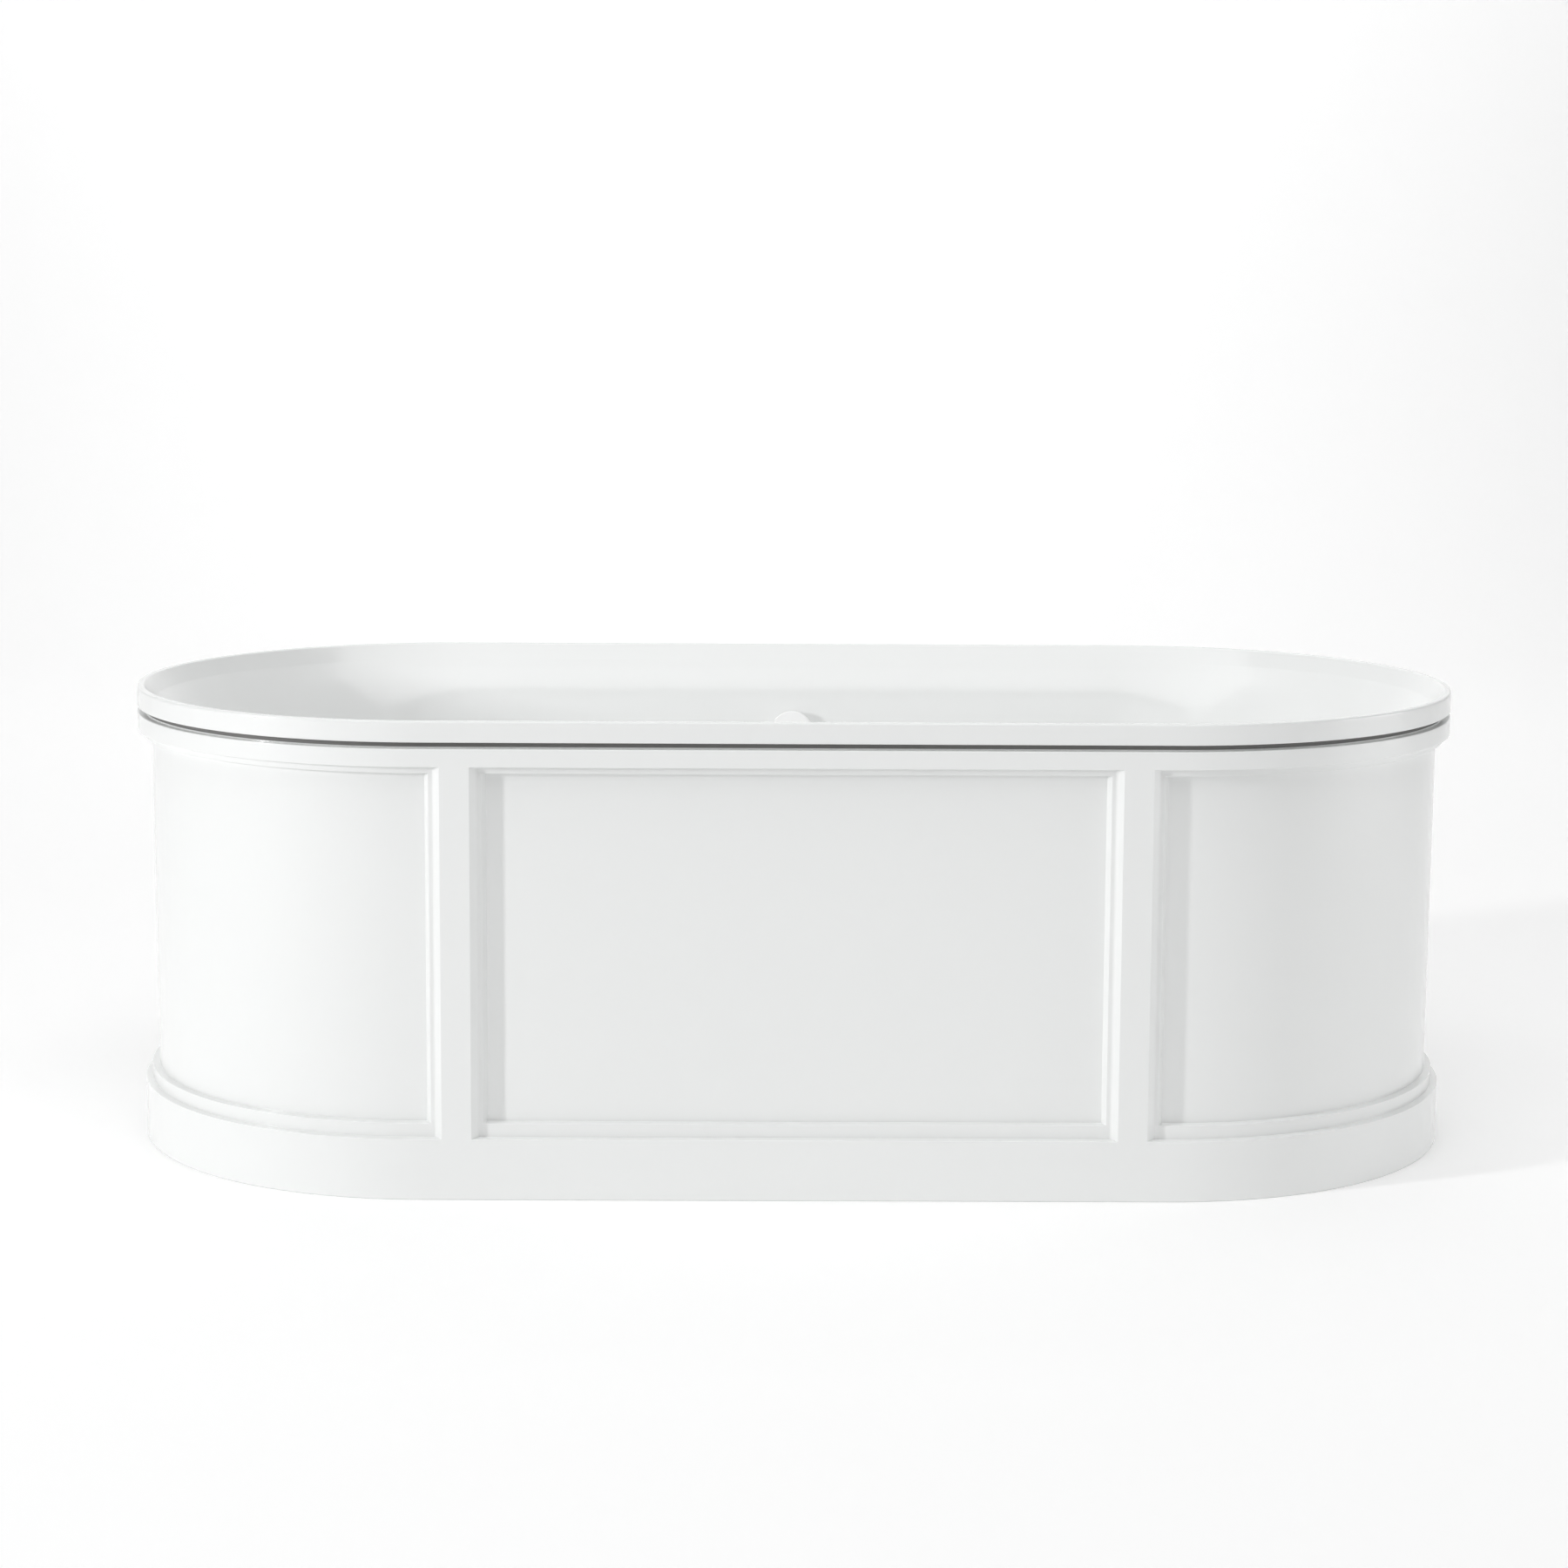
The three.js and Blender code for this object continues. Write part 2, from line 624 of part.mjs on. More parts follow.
function screwGeometry() {
  const head = BATTEN_FACE - GAP - BRACKET_WALL - GAP;
  const profile = [
    [0, -3],
    [2.6, -3],
    [4, -1.6],
    [4, 0],
    [SCREW_RADIUS, 0],
    [SCREW_RADIUS, SCREW_LENGTH - 3],
    [0, SCREW_LENGTH],
  ];
  return alongY(turned(profile, SMALL_ROUND), -head);
}

function boltGeometry() {
  const seat = RAIL_TOP + GAP + BRACKET_WALL + GAP;
  const head = hexagon(BOLT_HEAD, seat, seat + BOLT_HEAD_HEIGHT);
  return join(rod(BOLT_RADIUS, seat - BOLT_LENGTH, seat + 1), head).translate(0, -BRACKET_BOLT_Y, 0);
}

function footNut() {
  const top = RAIL_TOP - RAIL_HEIGHT - GAP;
  const bottom = top - FOOT_NUT_HEIGHT;
  return cut(hexagon(FOOT_NUT, bottom, top), rod(FOOT_STUD + GAP, bottom - 1, top + 1));
}

function makeFrame() {
  for (const [end, x] of [['left', -RAIL_X], ['right', RAIL_X]]) {
    add(`cross_rail_${end}`, railGeometry(), zincSteel).position.x = x;
    for (const [side, turn] of [['front', 0], ['rear', Math.PI]]) {
      const corner = new THREE.Group();
      corner.position.x = x;
      corner.rotation.z = turn;
      bath.add(corner);
      const place = `${side}_${end}`;
      add(`batten_${place}`, battenGeometry(), battenWood, corner);
      add(`bracket_${place}`, bracketGeometry(), zincSteel, corner);
      add(`bracket_screw_${place}`, screwGeometry(), zincSteel, corner);
      add(`bracket_bolt_${place}`, boltGeometry(), zincSteel, corner);
      const foot = new THREE.Group();
      foot.position.y = -FOOT_Y;
      corner.add(foot);
      add(`foot_pad_${place}`, footPad(), blackPlastic, foot);
      add(`foot_stud_${place}`, footStud(), zincSteel, foot);
      add(`foot_nut_${place}`, footNut(), zincSteel, foot);
    }
  }
}

// ---- waste --------------------------------------------------------------------------------
function makeWasteFlange() {
  const seat = FLANGE_SEAT + FLANGE_LIP;
  const profile = [
    [FLANGE_BORE, WASTE_BODY_TOP + 1],
    [FLANGE_BORE + 3.5, WASTE_BODY_TOP + 1],
    [FLANGE_BORE + 3.5, seat],
    [35, seat],
    [35, seat + 1],
    [32, FLANGE_TOP - 0.4],
    [28, FLANGE_TOP],
    [FLANGE_BORE + 3, FLANGE_TOP - 1],
    [FLANGE_BORE, FLANGE_TOP - 4],
  ];
  add('waste_flange', turned(profile), chrome);
  add('waste_gasket_upper', ring(FLANGE_BORE + 4, 33, FLANGE_SEAT, seat - GAP), greyRubber);
  const lower = ring(WASTE_HOLE + 1, 44, WASTE_BODY_TOP + GAP, BASIN_UNDER - GAP);
  add('waste_gasket_lower', lower, greyRubber);
}

// A round bar that points to +Y, at a place across and a height.
function barAlongY(radius, start, end, x, z) {
  return rod(radius, start, end).rotateX(-Math.PI / 2).translate(x, 0, z);
}

function makeWasteBody() {
  const outside = [
    [0, TRAP_TOP],
    [20, TRAP_TOP],
    [20, 106],
    [36, 110],
    [36, 146],
    [44, 149],
    [44, WASTE_BODY_TOP],
    [0, WASTE_BODY_TOP],
  ];
  const inside = [
    [0, 90],
    [17, 90],
    [17, 107],
    [33, 113],
    [33, 170],
    [0, 170],
  ];
  const spigot = barAlongY(PIPE_RADIUS + TUBE_WALL, 30, 62, 0, SPIGOT_Z);
  const spigotBore = barAlongY(PIPE_RADIUS + GAP, SPIGOT_STOP, 70, 0, SPIGOT_Z);
  const port = barAlongY(PIPE_RADIUS - TUBE_WALL, 20, 40, 0, SPIGOT_Z);
  const gland = barAlongY(CABLE_RADIUS + TUBE_WALL, 20, 52, CABLE_X, SPIGOT_Z);
  const glandBore = barAlongY(CABLE_RADIUS + GAP, SPIGOT_STOP, 60, CABLE_X, SPIGOT_Z);
  const shell = join(turned(outside), spigot, gland);
  add('waste_body', cut(shell, turned(inside), spigotBore, port, glandBore), whitePlastic);
}

// The pop-up plug: cap, seal and stem. It rests just above the flange when it is closed.
function makePlug() {
  const under = FLANGE_TOP + GAP;
  const cap = [
    [0, PLUG_BOTTOM],
    [PLUG_BODY, PLUG_BOTTOM],
    [PLUG_BODY, under],
    [31, under],
    [32, under + 1.2],
    [31, under + 2.6],
    [24, under + 4],
    [0, under + 5],
  ];
  add('waste_plug', turned(cap), chrome);
  const seal = ring(PLUG_BODY + GAP, FLANGE_BORE - GAP, PLUG_BOTTOM + 4, PLUG_BOTTOM + 7.2);
  add('plug_seal', seal, greyRubber);
  add('plug_stem', rod(PLUG_STEM, PLUG_STEM_BOTTOM, PLUG_BOTTOM - GAP), zincSteel);
}

// A round bar that points to +X at the height of the trap's outlet.
function barAlongX(radius, start, end) {
  return alongX(rod(radius, start, end, ROUND));
}

function alongX(geometry) {
  return geometry.rotateY(Math.PI / 2).translate(0, 0, TRAP_Z);
}

function trapBody() {
  const neck = TRAP_TOP - GAP;
  const outside = [
    [0, 16],
    [38, 16],
    [42, 20],
    [42, 74],
    [38, 80],
    [TRAP_NECK, 82],
    [TRAP_NECK, neck],
    [0, neck],
  ];
  const inside = [
    [0, 20],
    [37, 20],
    [38, 24],
    [38, 72],
    [TRAP_NECK - TUBE_WALL, 78],
    [TRAP_NECK - TUBE_WALL, 120],
    [0, 120],
  ];
  const stub = barAlongX(TRAP_PIPE + TUBE_WALL, 30, 66);
  const stubBore = barAlongX(TRAP_PIPE + GAP, TRAP_PIPE_START, 70);
  const port = barAlongX(TRAP_PIPE - TUBE_WALL, 30, 60);
  return cut(join(turned(outside), stub), turned(inside), stubBore, port);
}

function makeTrap() {
  add('trap_body', trapBody(), whitePlastic);
  add('trap_nut_inlet', ribbedCollar(TRAP_NECK + GAP, 31, 86, 98), whitePlastic);
  add('trap_nut_outlet', alongX(ribbedCollar(TRAP_PIPE + TUBE_WALL + GAP, 29, 48, 62)), whitePlastic);
  const pipe = ring(TRAP_PIPE - 2, TRAP_PIPE, TRAP_PIPE_START + GAP, TRAP_PIPE_END);
  add('trap_outlet', alongX(pipe), whitePlastic);
}

// A bored collar with grip ribs, about Z.
function ribbedCollar(bore, radius, bottom, top) {
  const outline = new THREE.Shape();
  const ribs = 12;
  for (let i = 0; i < 2 * ribs; i++) {
    const angle = (i / (2 * ribs)) * 2 * Math.PI;
    const reach = i % 2 ? radius + 2.5 : radius;
    const [x, y] = [reach * Math.cos(angle), reach * Math.sin(angle)];
    if (i === 0) outline.moveTo(x, y);
    else outline.lineTo(x, y);
  }
  outline.closePath();
  const options = { depth: top - bottom, bevelEnabled: false };
  const collar = stripped(new THREE.ExtrudeGeometry(outline, options).translate(0, 0, bottom));
  return cut(collar, rod(bore, bottom - 5, top + 5, ROUND));
}

// ---- overflow -----------------------------------------------------------------------------
function makeKnob() {
  const profile = [
    [0, -14],
    [KNOB_SHAFT, -14],
    [KNOB_SHAFT, KNOB_LIFT],
    [KNOB_RADIUS - 1, KNOB_LIFT],
    [KNOB_RADIUS, KNOB_LIFT + 1],
    [KNOB_RADIUS, KNOB_CROWN - 3],
    [KNOB_RADIUS - 0.9, KNOB_CROWN - 0.9],
    [KNOB_RADIUS - 3, KNOB_CROWN],
    [0, KNOB_CROWN],
  ];
  add('overflow_knob', turned(profile, 2 * SMALL_ROUND), whiteGloss, overflow);
}

function makeStrainer() {
  const bore = KNOB_SHAFT + GAP;
  const plate = [
    [bore, GAP],
    [27, GAP],
    [27, 1],
    [25, 1.9],
    [9, 2.3],
    [bore, 2.3],
  ];
  const slots = [];
  for (let i = 0; i < STRAINER_SLOTS; i++) {
    slots.push(box(7, 5, 12, 15.5, 0, 0).rotateZ((i / STRAINER_SLOTS) * 2 * Math.PI));
  }
  add('overflow_strainer', cut(turned(plate), ...slots), chrome, overflow);
}

// A round bar that points down the wall from the middle of the overflow body.
function barDown(radius, start, end, x) {
  return rod(radius, start, end).rotateX(Math.PI / 2).translate(x, 0, BODY_MIDDLE);
}

function makeOverflowBody() {
  const outside = [
    [0, BODY_BACK],
    [BODY_RADIUS - 3, BODY_BACK],
    [BODY_RADIUS, BODY_BACK + 3],
    [BODY_RADIUS, BODY_FRONT],
    [0, BODY_FRONT],
  ];
  const inside = [
    [0, BODY_BACK + 2.5],
    [BODY_BORE, BODY_BACK + 2.5],
    [BODY_BORE, 0],
    [0, 0],
  ];
  const outlet = barDown(7, 20, BODY_SPIGOT_END, 0);
  const outletBore = barDown(5, 15, BODY_SPIGOT_END + 4, 0);
  const gland = barDown(CABLE_RADIUS + TUBE_WALL, 10, BODY_GLAND_END, CABLE_X);
  const glandBore = barDown(CABLE_RADIUS + GAP, 24, BODY_GLAND_END + 4, CABLE_X);
  const shell = join(turned(outside), outlet, gland);
  add('overflow_body', cut(shell, turned(inside), outletBore, glandBore), whitePlastic, overflow);
}

function makeOverflow() {
  makeKnob();
  makeStrainer();
  makeOverflowBody();
  const gasket = ring(OVERFLOW_HOLE + 1, 31, BODY_FRONT + GAP, -(WALL + GAP));
  add('overflow_gasket', gasket, greyRubber, overflow);
}

// A route down between basin and skirt and then under the board, from [y, z] pairs. It starts
// below the overflow body, at a distance down the wall.
function routeBehindWall(x, startDown, places) {
  const start = overflow.localToWorld(new THREE.Vector3(x, -startDown, BODY_MIDDLE));
  return [start, ...places.map(([y, z]) => new THREE.Vector3(x, y, z))];
}

function makePipes() {
  const pipeRoute = routeBehindWall(0, BODY_SPIGOT_END + 2, [
    [336, 415],
    [331, 380],
    [318, 300],
    [300, 235],
    [262, 170],
    [215, 130],
    [160, SPIGOT_Z],
    [100, SPIGOT_Z],
    [SPIGOT_STOP + GAP, SPIGOT_Z],
  ]);
  add('overflow_pipe', swept(pipeRoute, PIPE_RADIUS, 18, 10), greyPlastic);
  const cableRoute = routeBehindWall(CABLE_X, BODY_GLAND_END + 1, [
    [336, 425],
    [330, 380],
    [316, 300],
    [297, 235],
    [258, 170],
    [212, 131],
    [160, SPIGOT_Z],
    [100, SPIGOT_Z],
    [SPIGOT_STOP + GAP, SPIGOT_Z],
  ]);
  add('drive_cable', swept(cableRoute, CABLE_RADIUS, 24, 8), blackPlastic);
}

makeBasin();
makeSkirt();
makeRimSeal();
makeSeamJoiners();
makeBaseBoard();
makeFrame();
makeWasteFlange();
makeWasteBody();
makePlug();
makeTrap();
makeOverflow();
makePipes();

export default bath;
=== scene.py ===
"""The freestanding bath in its studio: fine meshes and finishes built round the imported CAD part.

Shapes are worked out in millimetres, +Z up, with +Y towards the overflow, and made in metres.
"""

import math

import bpy
from mathutils import Matrix, Vector


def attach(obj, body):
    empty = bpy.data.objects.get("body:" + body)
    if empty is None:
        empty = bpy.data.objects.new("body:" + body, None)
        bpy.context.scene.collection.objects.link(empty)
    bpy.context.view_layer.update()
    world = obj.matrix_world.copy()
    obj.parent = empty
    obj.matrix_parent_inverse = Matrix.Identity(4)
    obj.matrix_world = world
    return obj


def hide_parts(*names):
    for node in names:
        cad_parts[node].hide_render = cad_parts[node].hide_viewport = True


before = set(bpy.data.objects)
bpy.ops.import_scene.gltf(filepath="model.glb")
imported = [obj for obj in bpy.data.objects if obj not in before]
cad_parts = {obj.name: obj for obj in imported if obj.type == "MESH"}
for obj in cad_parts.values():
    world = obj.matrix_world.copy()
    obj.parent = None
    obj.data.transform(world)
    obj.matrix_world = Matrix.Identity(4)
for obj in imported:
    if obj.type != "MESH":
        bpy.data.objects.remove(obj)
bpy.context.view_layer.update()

MM = 0.001
GAP = 0.3  # between pieces that meet

# ---- basin and skirt --------------------------------------------------------------------------
HALF_LENGTH = 885.5
HALF_WIDTH = 385.5
HALF_STRAIGHT = 476.0
END_RATIO = (HALF_LENGTH - HALF_STRAIGHT) / HALF_WIDTH

RIM_TOP = 614.0
RIM_BOTTOM = 587.0
RIM_CREST = 9.0
RIM_ROUND = 3.5
RIM_UNDERSIDE = 14.5  # inset at which the underside of the rim meets the wall
LIP_BOTTOM = 592.0
LIP_INSET = 21.0
WALL = 7.0
FLOOR_TOP = 165.0

SKIRT_TOP = 579.0
PANEL_TOP = 556.0
PLINTH_TOP = 79.0
SKIRT_WALL = 7.0
SKIRT_BATTER = 4.0
NECK_INSET = 10.0
NECK_WALL = 4.0
# The neck stops low so that the dark seal strip fills most of the gap under the rim, as painted shade.
NECK_TOP = 580.4
CENTRE_PANEL_HALF = 408.8
STILE_WIDTH = 37.4
LEDGE_DEPTH = 9.0
PANEL_DEPTH = 18.5

TOP_STEP = 9.1  # from a recess's top edge to the upper edge of its ledge
TOP_REACH = 10.1
BOTTOM_STEP = 18.5
BOTTOM_REACH = 19.5

# Where the meshes have rows and stations.
ARC_STATIONS = 56  # along each quarter of the oval
PLINTH_ROWS = (1.7, 2.6, 40)
PANEL_ROWS = (200, 300, 400, 480)

# Inside of the basin from the lip down: z, inset at the long sides, inset at the ends.
INSIDE = [
    (LIP_BOTTOM, LIP_INSET, LIP_INSET),
    (580, 27, 30),
    (560, 38, 44),
    (530, 49, 65),
    (440, 67, 125),
    (380, 78, 165),
    (300, 94, 215),
    (240, 110, 256),
    (205, 128, 287),
    (185, 150, 314),
    (172, 185, 350),
    (167, 230, 405),
    (165, 300, 560),
]

# Sections of a recess as (distance in from its outer edge, depth) corners.
SIDE_PROFILE = [
    (-6, 0),
    (0, 0),
    (7.4, 8),
    (9.6, LEDGE_DEPTH),
    (14.4, LEDGE_DEPTH),
    (19.8, PANEL_DEPTH),
    (26, PANEL_DEPTH),
]
TOP_PROFILE = [(-6, 0), (0, 0), (1, LEDGE_DEPTH), (TOP_STEP, LEDGE_DEPTH)]
TOP_PROFILE += [(TOP_REACH, PANEL_DEPTH), (16, PANEL_DEPTH)]
BOTTOM_PROFILE = [(-6, 0), (0, 0), (1, LEDGE_DEPTH), (BOTTOM_STEP, LEDGE_DEPTH)]
BOTTOM_PROFILE += [(BOTTOM_REACH, PANEL_DEPTH), (25, PANEL_DEPTH)]

# Parts of each drop in a recess at which the mesh has a row.
DROP_SHARES = [0.0, 0.004, 0.016, 0.04, 0.08, 0.16, 0.32, 0.5, 0.7, 0.82, 0.9, 0.95, 0.98, 0.995, 1.0]

# ---- overflow, along its own axis from the inside of the wall -----------------------------------
OVERFLOW_Z = 490.0
OVERFLOW_HOLE = 23.0
KNOB_RADIUS = 31.3
KNOB_SHAFT = 5.0
KNOB_BACK = -14.0
KNOB_LIFT = 2.8
KNOB_CROWN = 15.0
STRAINER_SLOTS = 6
BODY_FRONT = -(WALL + 2.6)
BODY_BACK = -24.0
BODY_DEPTH = (BODY_BACK + BODY_FRONT) / 2
BODY_RADIUS = 32.0
BODY_BORE = 22.0

# ---- hoses ------------------------------------------------------------------------------------
PIPE_RADIUS = 9.0
PIPE_STEPS = 520
PIPE_CUFF_STEPS = 16
PIPE_RIB_DEPTH = 0.9
CABLE_RADIUS = 3.0
CABLE_STEPS = 160
CABLE_X = 24.0

# ---- waste and trap ---------------------------------------------------------------------------
WASTE_HOLE = 26.0
FLANGE_BORE = 20.5
FLANGE_SEAT = FLOOR_TOP + GAP
FLANGE_TOP = FLANGE_SEAT + 4.6
BASIN_UNDER = FLOOR_TOP - WALL
WASTE_BODY_TOP = BASIN_UNDER - 4
WASTE_BODY_FOOT = 100.0
PLUG_CORE = 13.0
PLUG_BOTTOM = 158.0
STEM_RADIUS = 4.0
STEM_BOTTOM = 124.0
SPIGOT_Z = 120.0
TRAP_Z = 58.0
TRAP_PIPE = 20.0
TRAP_NECK = 25.0
TRAP_END = 250.0

# ---- support under the basin ------------------------------------------------------------------
RAIL_X = 400.0
RAIL_TOP = 137.7
RAIL_HEIGHT = 25.0
FOOT_Y = 210.0
FOOT_STUD = 6.0
FOOT_SOCKET_BOTTOM = 10.0
STUD_TOP = 126.0
THREAD_PITCH = 1.75
THREAD_DEPTH = 0.75
HEX_SIDES = 96
BATTEN_FACE = 344.0
BRACKET_WALL = 3.0
BRACKET_BOLT_Y = 312.0
SCREW_Z = 46.0

# ---- studio, in metres ------------------------------------------------------------------------
FLOOR_GLOW = 0.125
FLOOR_HALF_WIDTH = 12.0
FLOOR_FRONT = -12.0
FLOOR_BACK = 7.0
FLOOR_BEND = 2.5
BACKDROP_HEIGHT = 9.0

KEY_DIRECTION = Vector((2.2, 1, -0.57))
KEY_DISTANCE = 8.0
KEY_TARGET = Vector((0, -0.1, 0.35))

# Each light: place, target, size, brightness of its face. The key is a strip far to the left.
LIGHTS = {
    "key": (KEY_TARGET - KEY_DIRECTION.normalized() * KEY_DISTANCE, KEY_TARGET, (0.35, 1.2), 200.0),
    "front": ((0, -7.5, 3.0), (0, 0, 0.3), (6, 3.5), 0.9),
    "overhead_rear": ((0, 1.0, 4.5), (0, 0.3, 0), (6, 5), 0.9),
    "overhead_front": ((0, -2.4, 4.5), (0, -0.3, 0), (5, 3.5), 2.0),
    "right": ((4.5, -0.6, 0.95), (0, 0, 0.3), (2.4, 1.7), 3.1),
    "backdrop": ((0, 3.6, 4.5), (0, 6.5, 1.5), (8, 1.5), 3.4),
}

CAMERA_PLACE = (-0.04495, -4.50833, 1.24546)
CAMERA_YAW = -0.006753
CAMERA_PITCH = -0.125031
CAMERA_ROLL = -0.005324
CAMERA_LENS = 76.975
CAMERA_SHIFT = -0.09663


# ---- mesh helpers -----------------------------------------------------------------------------
def make_mesh(name, points, faces, finish, smooth=True):
    """A mesh object from points in millimetres."""
    mesh = bpy.data.meshes.new(name)
    mesh.from_pydata([Vector(p) * MM for p in points], [], faces)
    mesh.validate()
    mesh.materials.append(finish)
    obj = bpy.data.objects.new(name, mesh)
    bpy.context.scene.collection.objects.link(obj)
    if smooth:
        mesh.shade_smooth()
    return obj


def weigh_normals(obj):
    """Keeps large flat faces flat beside small rounded edges."""
    modifier = obj.modifiers.new("weighted", "WEIGHTED_NORMAL")
    modifier.keep_sharp = True
    modifier.weight = 100


def skin(grid, wrap_stations=False, wrap_rows=False, depths=None):
    """Faces over grid[station][row]. A quad with a fold across it is split along the fold."""
    stations, rows = len(grid), len(grid[0])
    points = [p for station in grid for p in station]
    faces = []
    for i in range(stations if wrap_stations else stations - 1):
        for j in range(rows if wrap_rows else rows - 1):
            ni, nj = (i + 1) % stations, (j + 1) % rows
            corners = [(i, j), (ni, j), (ni, nj), (i, nj)]
            a, b, c, d = [s * rows + r for s, r in corners]
            if depths is None:
                faces.append((a, b, c, d))
                continue
            da, db, dc, dd = [depths[s][r] for s, r in corners]
            if abs(da - db - dd + dc) < 1e-6:
                faces.append((a, b, c, d))
            elif abs(da - dc) >= abs(db - dd):
                faces += [(a, b, c), (a, c, d)]
            else:
                faces += [(a, b, d), (b, c, d)]
    return points, faces


def face_outwards(obj):
    """Turns the faces of a closed mesh outwards."""
    mesh = obj.data
    volume = 0.0
    mesh.calc_loop_triangles()
    for triangle in mesh.loop_triangles:
        a, b, c = [mesh.vertices[v].co for v in triangle.vertices]
        volume += a.dot(b.cross(c))
    if volume < 0:
        mesh.flip_normals()


def fillet(points, radius, steps=4):
    """Rounds each inner corner of a 2-D line that turns by more than 20 degrees."""
    result = [points[0]]
    for before, corner, after in zip(points, points[1:], points[2:]):
        p, q, r = Vector(before), Vector(corner), Vector(after)
        u, v = (p - q), (r - q)
        turn = math.pi - u.angle(v)
        if turn < math.radians(20):
            result.append(corner)
            continue
        reach = min(radius * math.tan(turn / 2), u.length * 0.45, v.length * 0.45)
        start, end = q + u.normalized() * reach, q + v.normalized() * reach
        for i in range(steps + 1):
            t = i / steps
            point = start * (1 - t) ** 2 + q * 2 * t * (1 - t) + end * t ** 2
            result.append(tuple(point))
    result.append(points[-1])
    return result


# ---- plan of the oval -------------------------------------------------------------------------
def oval(half_length, half_width, z, per_quarter=ARC_STATIONS):
    """Points round an oval with elliptical ends."""
    straight = max(1.0, half_length - END_RATIO * half_width)
    points = []
    for end in (1, -1):
        for i in range(-per_quarter, per_quarter + 1):
            angle = i / per_quarter * math.pi / 2
            reach = straight + (half_length - straight) * math.cos(angle)
            points.append((end * reach, end * half_width * math.sin(angle), z))
    return points


def oval_band(levels):
    """Grid of points for a surface that follows the oval, from (z, side inset, end inset) rows."""
    loops = [oval(HALF_LENGTH - end, HALF_WIDTH - side, z) for z, side, end in levels]
    return [list(column) for column in zip(*loops)]


def smooth_rows(rows, steps):
    """More rows through the given ones along a Catmull-Rom curve."""
    result = []
    for i in range(len(rows) - 1):
        p0 = Vector(rows[max(i - 1, 0)])
        p1, p2 = Vector(rows[i]), Vector(rows[i + 1])
        p3 = Vector(rows[min(i + 2, len(rows) - 1)])
        t0, t1 = 0.0, (p1 - p0).length ** 0.5
        t2 = t1 + (p2 - p1).length ** 0.5
        t3 = t2 + (p3 - p2).length ** 0.5
        for s in range(steps):
            t = t1 + (t2 - t1) * s / steps
            a1 = p1 if t1 == t0 else p0 * ((t1 - t) / (t1 - t0)) + p1 * ((t - t0) / (t1 - t0))
            a2 = p1 * ((t2 - t) / (t2 - t1)) + p2 * ((t - t1) / (t2 - t1))
            a3 = p2 if t3 == t2 else p2 * ((t3 - t) / (t3 - t2)) + p3 * ((t - t2) / (t3 - t2))
            b1 = a1 * ((t2 - t) / (t2 - t0)) + a2 * ((t - t0) / (t2 - t0))
            b2 = a2 * ((t3 - t) / (t3 - t1)) + a3 * ((t - t1) / (t3 - t1))
            result.append(tuple(b1 * ((t2 - t) / (t2 - t1)) + b2 * ((t - t1) / (t2 - t1))))
    result.append(tuple(rows[-1]))
    return result


def outside_of(index):
    """The outside of the basin wall beside one INSIDE row."""
    z, side, end = INSIDE[index]
    before, after = INSIDE[max(index - 1, 0)], INSIDE[min(index + 1, len(INSIDE) - 1)]
    fall = before[0] - after[0]
    side_angle = math.atan2(fall, after[1] - before[1])
    end_angle = math.atan2(fall, after[2] - before[2])
    side_shift = WALL * math.sin(side_angle)
    end_shift = WALL * (1 - math.cos(side_angle) * math.cos(end_angle)) / math.sin(end_angle)
    return z - WALL * math.cos(side_angle), side - side_shift, end - end_shift


def inside_inset(z):
    """How far the inside of a long wall stands in from the outer edge of the rim at a height."""
    for (z0, side0, _), (z1, side1, _) in zip(INSIDE, INSIDE[1:]):
        if z1 <= z <= z0:
            return side0 + (side1 - side0) * (z0 - z) / (z0 - z1)
    raise ValueError(z)


# The overflow fittings are made along Z and turned square to the rear wall.
WALL_LEAN = math.atan((inside_inset(OVERFLOW_Z - 20) - inside_inset(OVERFLOW_Z + 20)) / 40)
OVERFLOW_PLACE = Vector((0, HALF_WIDTH - inside_inset(OVERFLOW_Z), OVERFLOW_Z)) * MM
OVERFLOW = Matrix.Translation(OVERFLOW_PLACE) @ Matrix.Rotation(math.pi / 2 - WALL_LEAN, 4, "X")


# ---- turned pieces ----------------------------------------------------------------------------
def turned(name, profile, finish, segments=96, closed=False):
    """A turned piece about Z from (radius, z) corners. A profile that ends on the axis is capped."""
    points, faces = [], []
    rings = []
    for radius, z in profile:
        if radius < 1e-6:
            rings.append([len(points)] * segments)
            points.append((0, 0, z))
            continue
        rings.append(list(range(len(points), len(points) + segments)))
        for i in range(segments):
            angle = i / segments * 2 * math.pi
            points.append((radius * math.cos(angle), radius * math.sin(angle), z))
    pairs = list(zip(rings, rings[1:])) + ([(rings[-1], rings[0])] if closed else [])
    for low, high in pairs:
        for i in range(segments):
            n = (i + 1) % segments
            corners = [low[i], low[n], high[n], high[i]]
            unique = list(dict.fromkeys(corners))
            if len(unique) > 2:
                faces.append(tuple(unique))
    obj = make_mesh(name, points, faces, finish)
    face_outwards(obj)
    weigh_normals(obj)
    return obj


def bar(name, radius, bottom, top, finish, segments=48):
    """A plain round bar, to be joined to another piece or cut out of it."""
    obj = turned(name, [(0, bottom), (radius, bottom), (radius, top), (0, top)], finish, segments)
    obj.modifiers.clear()
    return obj


